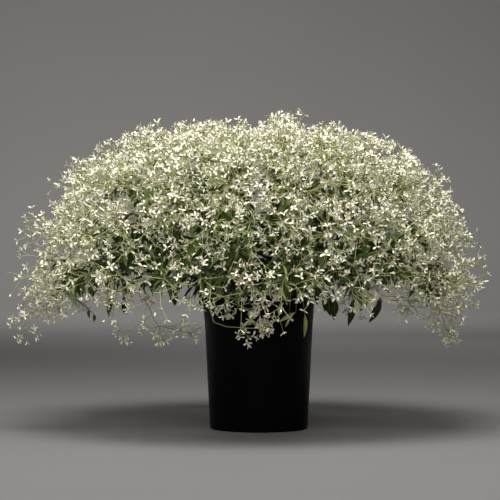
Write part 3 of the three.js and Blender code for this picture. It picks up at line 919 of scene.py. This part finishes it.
def hang_free_leaf(green, node, row, rng):
    """A leaf that hangs free of the mound, on a thin stalk from the nearest branch."""
    foot_across, foot_up, tip_across, tip_up, depth, width, tone = row
    start = seen_at(foot_across, foot_up, depth)
    end = seen_at(tip_across, tip_up, depth + rng.uniform(-6, 6))
    hang = towards(start, end)
    stalk = smooth_line([node.at, lerp(node.at, start, 0.6) + UP * 2, start], 2)
    green.line(stalk, HANGING_STALK_RADII, [HANGING_STALK_REDNESS] * 2)
    face = square_part(np.array([rng.uniform(-0.5, 0.5), -1.0, 0.3]), hang)
    green.put(LEAF, rng.randrange(3), start, hang, face, np.linalg.norm(end - start), width, tone)


def hang_free_spray(cloud, node, row, rng):
    """A spray on a long thin stem that hangs free of the mound, with its bunches of blooms."""
    places, bunches, depth, redness = row
    points = [seen_at(*place, depth + rng.uniform(-6, 6)) for place in places]
    line = smooth_line([node.at, *points], 2)
    cloud.line(line, HANGING_STEM_RADII, (redness, redness * 0.7), True)
    for bunch in bunches:
        middle_at = seen_at(*bunch, depth + rng.uniform(-18, 18))
        start = min(line[len(line) // 3:], key=lambda p: np.linalg.norm(p - middle_at))
        way = towards(start, middle_at)
        stalk = max(2.0, np.linalg.norm(middle_at - start) - BUNCH_LENGTHS[0])
        plane = turned_about(square_to(way)[0], way, rng.uniform(0, 180))
        side_spray(cloud, start, way, plane, stalk, BUNCH_LENGTHS, BUNCH_LIGHT, redness * 0.6, rng)


def hang_leaf(green, node, leaf, redness, rng):
    """A large leaf of a stem, on its own stalk."""
    hang, size = leaf.leaf
    radii = (PETIOLE_RADIUS * 0.9, PETIOLE_RADIUS * 0.7)
    green.line([node.at, leaf.at], radii, (redness, redness * 0.5))
    face = cross(cross(hang, UP), hang)
    kind = rng.randrange(3)
    tone = rng.uniform(0.05, 0.45)
    green.put(LEAF, kind, leaf.at, hang, face, LEAF_LENGTH * size, LEAF_WIDTH * size, tone)


def dress_stem(stem, leaves, sprays):
    """The stem and leaves of one leafy stem, and its cloud of flowers."""
    rng = random.Random(SEED * 100 + stem.index)
    green = Growth()
    cloud = Growth()
    low = 1 - max(0, stem.way[2])
    red = rng.uniform(0.35, 0.8) * (0.5 + 0.5 * low)
    line = smooth_line([stem.root.at, *(node.at for node in stem.pitches)], 3)
    green.line(line, (STEM_RADIUS, STEM_TOP_RADIUS), (red, red * 0.8), True)
    for node in stem.pitches:
        for kid in node.kids:
            if kid.leaf:
                hang_leaf(green, node, kid, red, rng)
    for below, above in zip(stem.pitches[1:], stem.pitches[2:]):
        fill_leaves(green, below.at, above.at, HEART_SPACING, HEART_LENGTH, rng)
    fork = stem.pitches[-1]
    for spray in stem.sprays:
        crown = spray.kids[0]
        radii = (STEM_TOP_RADIUS, SPRAY_RADII[1])
        branch_line(cloud, fork.at, crown.at, radii, (red * 0.8, red * 0.7), rng.uniform(0, 0.04), 6)
        fill_leaves(green, fork.at, crown.at, HEART_SPACING, HEART_LENGTH, rng)
        dress_fork(cloud, crown, spray.at, red * 0.7, rng)
    for node, row in leaves:
        hang_free_leaf(green, node, row, rng)
    for node, row in sprays:
        hang_free_spray(cloud, node, row, rng)
    return green, cloud


def shape_mesh(name, verts, faces, marks, sharp=(), smooth=True):
    """A closed shape, with named values for its vertices and the edges that stay sharp."""
    mesh = bpy.data.meshes.new(name)
    mesh.from_pydata(verts, [], faces)
    for label, values in marks.items():
        mesh.attributes.new(label, "FLOAT", "POINT").data.foreach_set("value", values)
    if smooth:
        mesh.shade_smooth()
    for edge in mesh.edges:
        edge.use_edge_sharp = frozenset(edge.vertices) in sharp
    return mesh


def blade_mesh(stations, columns, fold, cup, arch):
    """A closed leaf blade of unit length along X and unit width along Y, its upper side towards +Z.
    Stations are rows of a share of the length and the half width there."""
    verts = [(0, 0, 0)]
    along = [0]
    across = [0]
    under = [0.5]

    def add(t, u, y, z, side):
        verts.append((t, y, z))
        along.append(t)
        across.append(u)
        under.append(side)
        return len(verts) - 1

    wide = len(columns)
    rows = [([0] * wide, [0] * wide)]
    for t, half in stations:
        top = []
        below = []
        for u in columns:
            z = fold * abs(u) * half * 2 - cup * (t - 0.5) ** 2 * 4 + cup - arch * t * t
            edge = abs(u) == 1
            top.append(add(t, u, u * half, z, 0.5 if edge else 0))
            below.append(top[-1] if edge else add(t, u, u * half, z - LEAF_THICKNESS, 1))
        rows.append((top, below))
    tip = add(1, 0, 0, -arch, 0.5)
    rows.append(([tip] * wide, [tip] * wide))
    faces = []
    sharp = set()
    for (top, below), (top_on, below_on) in zip(rows, rows[1:]):
        for i in range(wide - 1):
            faces.append((top[i + 1], top_on[i + 1], top_on[i], top[i]))
            faces.append((below[i], below_on[i], below_on[i + 1], below[i + 1]))
        sharp |= {frozenset((top[0], top_on[0])), frozenset((top[-1], top_on[-1]))}
    faces = [tuple(dict.fromkeys(face)) for face in faces]
    return shape_mesh("leaf", verts, faces, {"along": along, "across": across, "under": under}, sharp)


def bract_mesh(fold, arch):
    """A closed oval bract of unit length along X and unit width along Y, channelled along its middle."""
    rim = [(0, 0), (0.36, 0.4), (0.76, 0.46), (1, 0), (0.76, -0.46), (0.36, -0.4)]
    count = len(rim)
    verts = [(x, y, fold * abs(y) * 2 - arch * x * x) for x, y in rim]
    verts += [(0.56, 0, -arch * 0.3), (0.56, 0, -arch * 0.3 - BRACT_THICKNESS)]
    faces = []
    sharp = set()
    for i in range(count):
        j = (i + 1) % count
        faces += [(j, i, count), (i, j, count + 1)]
        sharp.add(frozenset((i, j)))
    return shape_mesh("bract", verts, faces, {"along": [v[0] for v in verts]}, sharp)


def cup_mesh():
    """A small three-sided cup of unit length along X, hollow at its end."""
    verts = [(0, 0, 0)]
    for x, radius in ((0.35, 0.5), (1, 0.4)):
        for i in range(3):
            turn = 2 * math.pi * i / 3
            verts.append((x, radius * math.cos(turn), radius * math.sin(turn)))
    verts.append((0.86, 0, 0))
    faces = []
    for i in range(3):
        j = (i + 1) % 3
        faces += [(0, 1 + j, 1 + i), (1 + i, 1 + j, 4 + j, 4 + i), (4 + i, 4 + j, 7)]
    return shape_mesh("cup", verts, faces, {"along": [v[0] for v in verts]}, smooth=False)


def bract_shapes():
    """A nearly flat bract, one that arches over, and one that turns up at its tip."""
    return [bract_mesh(fold, arch) for fold, arch in ((0.1, 0.06), (0.14, 0.16), (0.05, -0.08))]


def leaf_shapes():
    """Three large and three small blades, each with its own fold, cup and arch."""
    large_sides = [
        (0.06, 0.1), (0.16, 0.27), (0.3, 0.44), (0.45, 0.5),
        (0.6, 0.46), (0.74, 0.35), (0.86, 0.2), (0.95, 0.08),
    ]
    large = (large_sides, (-1, -0.5, 0, 0.5, 1))
    small = ([(0.12, 0.2), (0.34, 0.47), (0.6, 0.46), (0.84, 0.22)], (-1, 0, 1))
    rules = [
        (large, 0.1, 0.03, 0.16),
        (large, 0.05, 0.0, 0.3),
        (large, 0.14, 0.06, 0.05),
        (small, 0.12, 0.02, 0.14),
        (small, 0.08, 0.0, 0.26),
        (small, 0.14, 0.05, 0.02),
    ]
    return [blade_mesh(*outline, *bends) for outline, *bends in rules]


def shape_collection(name, meshes):
    """A collection of shapes, in order, for a tree to pick from."""
    made = bpy.data.collections.new(name)
    for i, mesh in enumerate(meshes):
        made.objects.link(bpy.data.objects.new(f"{name}_{i}", mesh))
    bpy.context.scene.collection.children.link(made)
    return made


def clear(collection):
    for shape in list(collection.objects):
        bpy.data.objects.remove(shape)
    bpy.data.collections.remove(collection)


def add_object(name, data):
    made = bpy.data.objects.new(name, data)
    bpy.context.scene.collection.objects.link(made)
    return made


def finished_mesh(thing):
    """A plain mesh of an object as its modifiers leave it."""
    depsgraph = bpy.context.evaluated_depsgraph_get()
    return bpy.data.meshes.new_from_object(
        thing.evaluated_get(depsgraph), preserve_all_data_layers=True, depsgraph=depsgraph
    )


class Wiring:
    """Short ways to add nodes to a node tree and to wire them."""

    def __init__(self, tree):
        self.tree = tree

    def wire(self, value, socket):
        if isinstance(value, bpy.types.NodeSocket):
            self.tree.links.new(value, socket)
        else:
            socket.default_value = value

    def node(self, kind, settings=None, output=None, **inputs):
        """Adds a node and gives back the named output, or else its first one in use."""
        made = self.tree.nodes.new(kind)
        for key, value in (settings or {}).items():
            setattr(made, key, value)
        for key, value in inputs.items():
            label = key.replace("_", " ")
            self.wire(value, next(s for s in made.inputs if s.name == label and s.enabled))
        return made.outputs[output] if output else next(s for s in made.outputs if s.enabled)

    def in_order(self, kind, settings, *values):
        """Adds a node whose inputs are given in their order."""
        made = self.tree.nodes.new(kind)
        for key, value in settings.items():
            setattr(made, key, value)
        for value, socket in zip(values, (s for s in made.inputs if s.enabled)):
            self.wire(value, socket)
        return next(s for s in made.outputs if s.enabled)

    def math(self, operation, *values):
        return self.in_order("ShaderNodeMath", {"operation": operation}, *values)


class Tree(Wiring):
    """A Geometry Nodes tree with named inputs."""

    def __init__(self, name):
        super().__init__(bpy.data.node_groups.new(name, "GeometryNodeTree"))
        for way in ("INPUT", "OUTPUT"):
            self.tree.interface.new_socket("Geometry", in_out=way, socket_type="NodeSocketGeometry")
        self.inside = self.tree.nodes.new("NodeGroupInput")
        self.outside = self.tree.nodes.new("NodeGroupOutput")
        self.whole = self.inside.outputs["Geometry"]
        self.identifiers = {}

    def input(self, name, kind):
        if name not in self.identifiers:
            socket = self.tree.interface.new_socket(name, in_out="INPUT", socket_type=f"NodeSocket{kind}")
            self.identifiers[name] = socket.identifier
        return self.inside.outputs[name]

    def attribute(self, name, kind):
        return self.node("GeometryNodeInputNamedAttribute", {"data_type": kind}, Name=name)

    def compare(self, kind, operation, first, second):
        settings = {"data_type": kind, "operation": operation}
        return self.node("FunctionNodeCompare", settings, A=first, B=second)

    def opposite(self, value):
        return self.node("FunctionNodeBooleanMath", {"operation": "NOT"}, Boolean=value)

    def placed(self, shapes, **inputs):
        """The shapes of one of the tree's collections, set on points."""
        held = self.node(
            "GeometryNodeCollectionInfo",
            Collection=self.input(shapes, "Collection"),
            Separate_Children=True,
            Reset_Children=True,
        )
        return self.node("GeometryNodeInstanceOnPoints", Instance=held, Pick_Instance=True, **inputs)

    def finish(self, parts):
        """Makes parts real, gives each its material and joins them."""
        join = self.tree.nodes.new("GeometryNodeJoinGeometry")
        for label, part in parts:
            real = self.node("GeometryNodeRealizeInstances", Geometry=part)
            material = self.input(label, "Material")
            coated = self.node("GeometryNodeSetMaterial", Geometry=real, Material=material)
            self.tree.links.new(coated, join.inputs[0])
        self.tree.links.new(join.outputs[0], self.outside.inputs["Geometry"])
        return self

    def made(self, name, mesh, values):
        """The tree's result on a mesh, as a plain mesh object with no modifier."""
        holder = add_object(name + "_holder", mesh)
        modifier = holder.modifiers.new("growth", "NODES")
        modifier.node_group = self.tree
        for label, value in values.items():
            modifier[self.identifiers[label]] = value
        result = finished_mesh(holder)
        result.name = name
        holder.modifiers.remove(modifier)
        bpy.data.objects.remove(holder)
        return add_object(name, result)


def plant_tree():
    """Turns a holder of lines and points into stems, twigs, bracts, cups and leaves."""
    tree = Tree("plant_growth")
    stout = tree.attribute("stout", "BOOLEAN")
    thickness = tree.attribute("thickness", "FLOAT")
    parts = []
    for label, chosen in (("Stem Sides", stout), ("Twig Sides", tree.opposite(stout))):
        sides = tree.input(label, "Int")
        curve = tree.node("GeometryNodeMeshToCurve", Mesh=tree.whole, Selection=chosen)
        section = tree.node("GeometryNodeCurvePrimitiveCircle", Resolution=sides, Radius=1.0)
        tube = tree.node(
            "GeometryNodeCurveToMesh", Curve=curve, Profile_Curve=section, Scale=thickness, Fill_Caps=True
        )
        rounded = tree.node("GeometryNodeSetShadeSmooth", Geometry=tube, Shade_Smooth=True)
        parts.append(("Stem Material", rounded))
    family = tree.attribute("family", "INT")
    for number, label in ((BRACT, "Bract"), (CUP, "Cup"), (LEAF, "Leaf")):
        placed = tree.placed(
            f"{label} Shapes",
            Points=tree.whole,
            Selection=tree.compare("INT", "EQUAL", family, number),
            Instance_Index=tree.attribute("kind", "INT"),
            Rotation=tree.attribute("turn", "QUATERNION"),
            Scale=tree.attribute("stretch", "FLOAT_VECTOR"),
        )
        parts.append((f"{label} Material", placed))
    return tree.finish(parts)


def soil_tree():
    """Scatters crumbs over the top of the soil and joins them to it."""
    tree = Tree("soil_grains")
    seed = tree.input("Seed", "Int")
    normal = tree.node("GeometryNodeInputNormal")
    upward = tree.node("ShaderNodeSeparateXYZ", output="Z", Vector=normal)
    scatter = tree.node(
        "GeometryNodeDistributePointsOnFaces",
        Mesh=tree.whole,
        Selection=tree.compare("FLOAT", "GREATER_THAN", upward, FACES_UP),
        Density=tree.input("Density", "Float"),
        Seed=seed,
    )
    any_turn = {"Min": (0, 0, 0), "Max": (2 * math.pi,) * 3, "Seed": seed}
    turn = tree.node("FunctionNodeRandomValue", {"data_type": "FLOAT_VECTOR"}, **any_turn)
    narrowest, widest = GRAIN_WIDTHS
    width = tree.node("FunctionNodeRandomValue", {"data_type": "FLOAT"}, Min=narrowest, Max=widest)
    scale = tree.math("MULTIPLY", width, tree.input("Grain Size", "Float"))
    pick = tree.node("FunctionNodeRandomValue", {"data_type": "FLOAT"}, Seed=PERLITE_SEED)
    is_perlite = tree.compare("FLOAT", "LESS_THAN", pick, PERLITE_SHARE)
    parts = [("Peat Material", tree.whole)]
    for label, chosen in (("Perlite Material", is_perlite), ("Peat Material", tree.opposite(is_perlite))):
        placed = tree.placed("Grain Shapes", Points=scatter, Selection=chosen, Rotation=turn, Scale=scale)
        parts.append((label, placed))
    return tree.finish(parts)


class Finish(Wiring):
    """A procedural material. Coordinates are in metres, so that scales are per metre."""

    def __init__(self, name, roughness, specular):
        self.material = bpy.data.materials.new(name)
        self.material.use_nodes = True
        super().__init__(self.material.node_tree)
        self.shader = self.tree.nodes["Principled BSDF"]
        self.feed("Roughness", roughness)
        self.feed("Specular IOR Level", specular)

    def feed(self, label, value):
        self.wire(value, self.shader.inputs[label])

    def attribute(self, name):
        return self.node("ShaderNodeAttribute", {"attribute_name": name}, "Fac")

    def noise(self, scale, detail=3.0):
        place = self.node("ShaderNodeTexCoord", output="Object")
        return self.node(
            "ShaderNodeTexNoise", output="Fac", Vector=place, Scale=scale, Detail=detail, Roughness=0.55
        )

    def spread(self, value, low, high, new_low=0.0, new_high=1.0):
        """Stretches the range from low to high over a new range."""
        return self.in_order("ShaderNodeMapRange", {}, value, low, high, new_low, new_high)

    def blend(self, factor, first, second):
        """A mix of two colours."""
        colours = [(*value, 1) if isinstance(value, tuple) else value for value in (first, second)]
        return self.in_order("ShaderNodeMix", {"data_type": "RGBA"}, factor, *colours)

    def bump(self, height, distance, strength=0.6):
        self.feed("Normal", self.node("ShaderNodeBump", Height=height, Distance=distance, Strength=strength))


def bract_finish():
    made = Finish("creamy_bract", 0.62, 0.3)
    # The shade value paints bracts a little darker and yellower low in the mound and whiter at its top:
    # painted shade and light, with a random spread.
    cream = made.blend(made.spread(made.attribute("shade"), 0.3, 1.0), (0.8, 0.75, 0.56), (0.82, 0.79, 0.66))
    green_foot = made.spread(made.attribute("along"), 0.0, 0.36, 0.5, 0.0)
    colour = made.blend(green_foot, cream, (0.6, 0.6, 0.24))
    vein = made.spread(made.noise(900), 0.35, 0.7, 0.0, 0.2)
    made.feed("Base Color", made.blend(vein, colour, (0.84, 0.82, 0.6)))
    made.bump(made.noise(1400), 0.0003)
    return made.material


def cup_finish():
    made = Finish("yellow_green_cup", 0.5, 0.4)
    green = made.blend(made.spread(made.attribute("along"), 0.2, 1.0), (0.36, 0.44, 0.1), (0.68, 0.7, 0.24))
    made.feed("Base Color", made.blend(made.noise(700), green, (0.46, 0.54, 0.16)))
    made.bump(made.noise(1600), 0.0002)
    return made.material


def stem_finish():
    made = Finish("green_to_red_stem", 0.48, 0.4)
    patch = made.spread(made.noise(60), 0.35, 0.65, -0.25, 0.25)
    red = made.spread(made.math("ADD", made.attribute("redness"), patch), 0.2, 0.85)
    colour = made.blend(red, (0.46, 0.48, 0.2), (0.14, 0.05, 0.03))
    streak = made.spread(made.noise(400), 0.4, 0.7, 0.0, 0.3)
    made.feed("Base Color", made.blend(streak, colour, (0.4, 0.4, 0.2)))
    made.bump(made.noise(900), 0.0003)
    return made.material


def leaf_finish():
    made = Finish("lance_leaf", 0.58, 0.22)
    across = made.math("ABSOLUTE", made.attribute("across"))
    shade = made.attribute("shade")
    # The shade value paints the blade from near black through dark green to yellow-green: partly the leaf's
    # own colour, partly painted shade deep in the mound and painted light at its top.
    green = made.blend(made.spread(shade, 0.0, 0.5), (0.01, 0.022, 0.008), (0.1, 0.16, 0.022))
    blade = made.blend(made.spread(shade, 0.5, 1.0), green, (0.52, 0.54, 0.2))
    mottled = made.blend(made.spread(made.noise(160), 0.35, 0.7, 0.0, 0.25), blade, (0.06, 0.1, 0.02))
    slant = made.math("MULTIPLY", across, -14.0)
    lateral = made.math("SINE", made.math("MULTIPLY_ADD", made.attribute("along"), 60.0, slant))
    veins = made.spread(lateral, 0.8, 1.0, 0.0, 0.16)
    veined = made.blend(veins, mottled, (0.15, 0.21, 0.06))
    ribbed = made.blend(made.spread(across, 0.03, 0.14, 0.35, 0.0), veined, (0.24, 0.29, 0.1))
    pale = made.math("MULTIPLY", made.attribute("under"), 0.14)
    made.feed("Base Color", made.blend(pale, ribbed, (0.18, 0.24, 0.1)))
    made.bump(made.math("ADD", made.math("MULTIPLY", veins, -1.0), made.noise(500)), 0.0004)
    return made.material


def pot_finish():
    made = Finish("black_nursery_plastic", 0.4, 0.07)
    smudge = made.spread(made.noise(9, 5.0), 0.35, 0.7)
    made.feed("Base Color", made.blend(smudge, (0.0012, 0.0012, 0.0013), (0.003, 0.003, 0.0029)))
    made.feed("Roughness", made.spread(made.noise(30, 6.0), 0.3, 0.7, 0.3, 0.46))
    made.bump(made.noise(1800, 2.0), 0.0002, 0.35)
    return made.material


def peat_finish():
    made = Finish("peat_mix", 0.95, 0.2)
    crumbs = made.spread(made.noise(260, 6.0), 0.35, 0.68)
    peat = made.blend(crumbs, (0.018, 0.011, 0.007), (0.085, 0.055, 0.034))
    damp = made.spread(made.noise(40), 0.45, 0.65, 0.0, 0.5)
    made.feed("Base Color", made.blend(damp, peat, (0.045, 0.03, 0.02)))
    made.bump(made.noise(700, 6.0), 0.0012, 0.9)
    return made.material


def perlite_finish():
    made = Finish("perlite", 0.9, 0.25)
    made.feed("Base Color", made.blend(made.noise(500, 4.0), (0.42, 0.39, 0.33), (0.68, 0.66, 0.6)))
    made.bump(made.noise(1500, 4.0), 0.0006, 0.8)
    return made.material


def sweep_finish():
    made = Finish("grey_sweep", 0.85, 0.2)
    made.feed("Base Color", made.blend(made.noise(1.2, 2.0), (0.17, 0.162, 0.155), (0.185, 0.177, 0.17)))
    return made.material


def mesh_from(built, name):
    mesh = bpy.data.meshes.new(name)
    built.to_mesh(mesh)
    built.free()
    return mesh


def arc(centre, radius, first, last):
    """Points round an arc in a profile, by angles in degrees."""
    points = []
    for i in range(ROUND_STEPS + 1):
        turn = math.radians(lerp(first, last, i / ROUND_STEPS))
        points.append((centre[0] + radius * math.cos(turn), centre[1] + radius * math.sin(turn)))
    return points


def lathed(name, profile, sides):
    """A closed solid of revolution from a profile that starts and ends on the axis."""
    built = bmesh.new()
    rows = []
    for r, z in profile:
        ring = []
        for i in range(sides if r > 1e-6 else 1):
            turn = 2 * math.pi * i / sides
            ring.append(built.verts.new((r * math.cos(turn) * MM, r * math.sin(turn) * MM, z * MM)))
        rows.append(ring)
    for below, above in zip(rows, rows[1:]):
        for i in range(sides):
            steps = ((below, i), (below, i + 1), (above, i + 1), (above, i))
            corners = [ring[step % len(ring)] for ring, step in steps]
            built.faces.new(list(dict.fromkeys(corners)))
    bmesh.ops.recalc_face_normals(built, faces=built.faces)
    return mesh_from(built, name)


def pot_radius(z):
    return lerp(POT_FOOT_RADIUS, POT_TOP_RADIUS, z / POT_HEIGHT)


def soil_radius(z):
    return pot_radius(z) - POT_WALL - SOIL_GAP


def pot_profile():
    """The outline of the pot from its underside up, over the rim and down inside to its floor."""
    lip = POT_TOP_RADIUS + LIP_OVERHANG
    lip_foot = POT_HEIGHT - LIP_HEIGHT
    band = lip_foot - BAND_DROP
    inner_top = pot_radius(POT_HEIGHT) - POT_WALL
    inner_foot = pot_radius(POT_FLOOR) - POT_WALL
    slope_in, slope_up = FLOOR_SLOPE
    return [
        (0, 0),
        (POT_FOOT_RADIUS - FOOT_ROUND - FOOT_LAND, 0),
        *arc((POT_FOOT_RADIUS - FOOT_ROUND, FOOT_ROUND), FOOT_ROUND, -90, 0),
        (pot_radius(band), band),
        (pot_radius(band) + BAND_DEPTH, band + 2 * BAND_DEPTH),
        (pot_radius(lip_foot) + BAND_DEPTH, lip_foot - BAND_DEPTH),
        *arc((lip - LIP_ROUND, lip_foot + LIP_ROUND), LIP_ROUND, -80, 0),
        *arc((lip - LIP_ROUND, POT_HEIGHT - LIP_ROUND), LIP_ROUND, 0, 90),
        *arc((inner_top + RIM_ROUND, POT_HEIGHT - RIM_ROUND), RIM_ROUND, 90, 180),
        (inner_foot, POT_FLOOR + slope_up),
        (inner_foot - slope_in, POT_FLOOR),
        (0, POT_FLOOR),
    ]


def make_pot():
    """A thin tapered pot with a turned-out lip, a shallow band below it and drain holes."""
    pot = add_object("black_pot", lathed("pot", pot_profile(), POT_SIDES))
    drills = bmesh.new()
    for i in range(DRAIN_HOLES):
        turn = 2 * math.pi * (i + 0.5) / DRAIN_HOLES
        at = Vector((DRAIN_RING * math.cos(turn), DRAIN_RING * math.sin(turn), POT_FLOOR / 2)) * MM
        bmesh.ops.create_cone(
            drills,
            cap_ends=True,
            segments=DRAIN_SIDES,
            radius1=DRAIN_RADIUS * MM,
            radius2=DRAIN_RADIUS * MM,
            depth=4 * POT_FLOOR * MM,
            matrix=Matrix.Translation(at),
        )
    drill = add_object("drills", mesh_from(drills, "drills"))
    cut = pot.modifiers.new("drain holes", "BOOLEAN")
    cut.operation = "DIFFERENCE"
    cut.solver = "EXACT"
    cut.object = drill
    pierced = finished_mesh(pot)
    pot.modifiers.remove(cut)
    bpy.data.objects.remove(drill)
    pierced.materials.clear()
    pierced.materials.append(pot_finish())
    pierced.shade_smooth()
    pierced.set_sharp_from_angle(angle=math.radians(SHARP_FROM))
    pot.data = pierced
    dress(pot, "pot", "nursery_pot")


def soil_mesh():
    """The filled inside of the pot, its top crowned and uneven."""
    foot = POT_FLOOR + SOIL_GAP
    rim = soil_radius(SOIL_TOP)
    foot_top = foot + SOIL_FOOT_ROUND
    profile = [(0, foot), (soil_radius(foot) - SOIL_FOOT_ROUND, foot), (soil_radius(foot_top), foot_top)]
    profile.append((rim, SOIL_TOP))
    for i in range(1, SOIL_RINGS + 1):
        r = rim * (1 - i / SOIL_RINGS)
        profile.append((r, SOIL_TOP + SOIL_CROWN * (1 - (r / rim) ** 3)))
    mesh = lathed("soil", profile, SOIL_SIDES)
    rng = random.Random(SEED)
    for v in mesh.vertices:
        r = math.hypot(v.co.x, v.co.y) / MM
        if v.co.z > SOIL_TOP * MM + 1e-6 and r < rim - 1:
            v.co.z += rng.uniform(-1, 0.4) * SOIL_ROUGHNESS * MM
    return mesh


def grain_mesh(seed, flatness):
    """A small irregular crumb, about one unit across."""
    built = bmesh.new()
    bmesh.ops.create_icosphere(built, subdivisions=1, radius=0.5)
    rng = random.Random(seed)
    for v in built.verts:
        v.co *= rng.uniform(0.65, 1.2)
        v.co.z *= flatness
    return mesh_from(built, "grain")


def dress(piece, slot, *nodes):
    """Puts a finished piece on the body, in place of its solids."""
    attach(piece, BODY)
    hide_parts(*nodes)


def make_soil():
    grains = [grain_mesh(GRAIN_SEED + i, flatness) for i, flatness in enumerate(GRAIN_FLATNESS)]
    shapes = shape_collection("grain_shape", grains)
    values = {
        "Density": GRAINS_PER_SQUARE_METRE,
        "Grain Size": GRAIN_SIZE * MM,
        "Seed": SEED,
        "Grain Shapes": shapes,
        "Peat Material": peat_finish(),
        "Perlite Material": perlite_finish(),
    }
    soil = soil_tree().made("potting_soil", soil_mesh(), values)
    dress(soil, "soil", "soil")
    clear(shapes)


def make_plant():
    shapes = {
        "Bract Shapes": shape_collection("bract_shape", bract_shapes()),
        "Cup Shapes": shape_collection("cup_shape", [cup_mesh()]),
        "Leaf Shapes": shape_collection("leaf_shape", leaf_shapes()),
    }
    looks = {
        "Bract Material": bract_finish(),
        "Cup Material": cup_finish(),
        "Leaf Material": leaf_finish(),
        "Stem Material": stem_finish(),
    }
    values = {"Stem Sides": 7, "Twig Sides": 3, **shapes, **looks}
    tree = plant_tree()
    stems = grow_plant()
    shares = share_out(stems)
    for stem in stems:
        label = f"{stem.index + 1:02d}"
        green, cloud = dress_stem(stem, *shares[stem.index])
        branch = tree.made(f"branch_{label}", green.holder("branch"), values)
        dress(branch, "foliage", f"leafy_stem_{label}")
        flowers = tree.made(f"flowers_{label}", cloud.holder("flowers"), values)
        dress(flowers, "flowers", f"flower_spray_{label}_a", f"flower_spray_{label}_b")
    for collection in shapes.values():
        clear(collection)


def make_sweep():
    """A round grey floor that curves up all round into a backdrop."""
    profile = [(0, 0)]
    for i in range(SWEEP_STEPS + 1):
        turn = math.pi / 2 * i / SWEEP_STEPS
        profile.append((FLOOR_RADIUS + SWEEP_RADIUS * math.sin(turn), SWEEP_RADIUS * (1 - math.cos(turn))))
    profile.append((FLOOR_RADIUS + SWEEP_RADIUS, WALL_TOP))
    mesh = lathed("sweep", [(r / MM, z / MM) for r, z in profile], SWEEP_SIDES)
    mesh.materials.append(sweep_finish())
    mesh.shade_smooth()
    add_object("sweep", mesh)


def make_lights():
    for name, at, target, size, power, spread in LIGHTS:
        data = bpy.data.lights.new(name, "AREA")
        data.shape = "RECTANGLE"
        data.size, data.size_y = size
        data.energy = power
        data.spread = math.radians(spread)
        lamp = add_object(name, data)
        lamp.location = at
        lamp.rotation_euler = (Vector(target) - Vector(at)).to_track_quat("-Z", "Y").to_euler()
    world = bpy.data.worlds.new("studio")
    world.use_nodes = True
    sky = world.node_tree.nodes["Background"]
    sky.inputs["Color"].default_value = SKY_COLOUR
    sky.inputs["Strength"].default_value = SKY_STRENGTH
    bpy.context.scene.world = world
    bpy.context.scene.view_settings.view_transform = "Standard"


def make_camera():
    data = bpy.data.cameras.new("camera")
    data.sensor_width = SENSOR_WIDTH
    data.lens = CAMERA_LENS
    camera = add_object("camera", data)
    camera.location = EYE * MM
    camera.rotation_euler = (math.radians(90), 0, 0)
    bpy.context.scene.camera = camera


make_camera()
make_sweep()
make_lights()
make_pot()
make_soil()
make_plant()
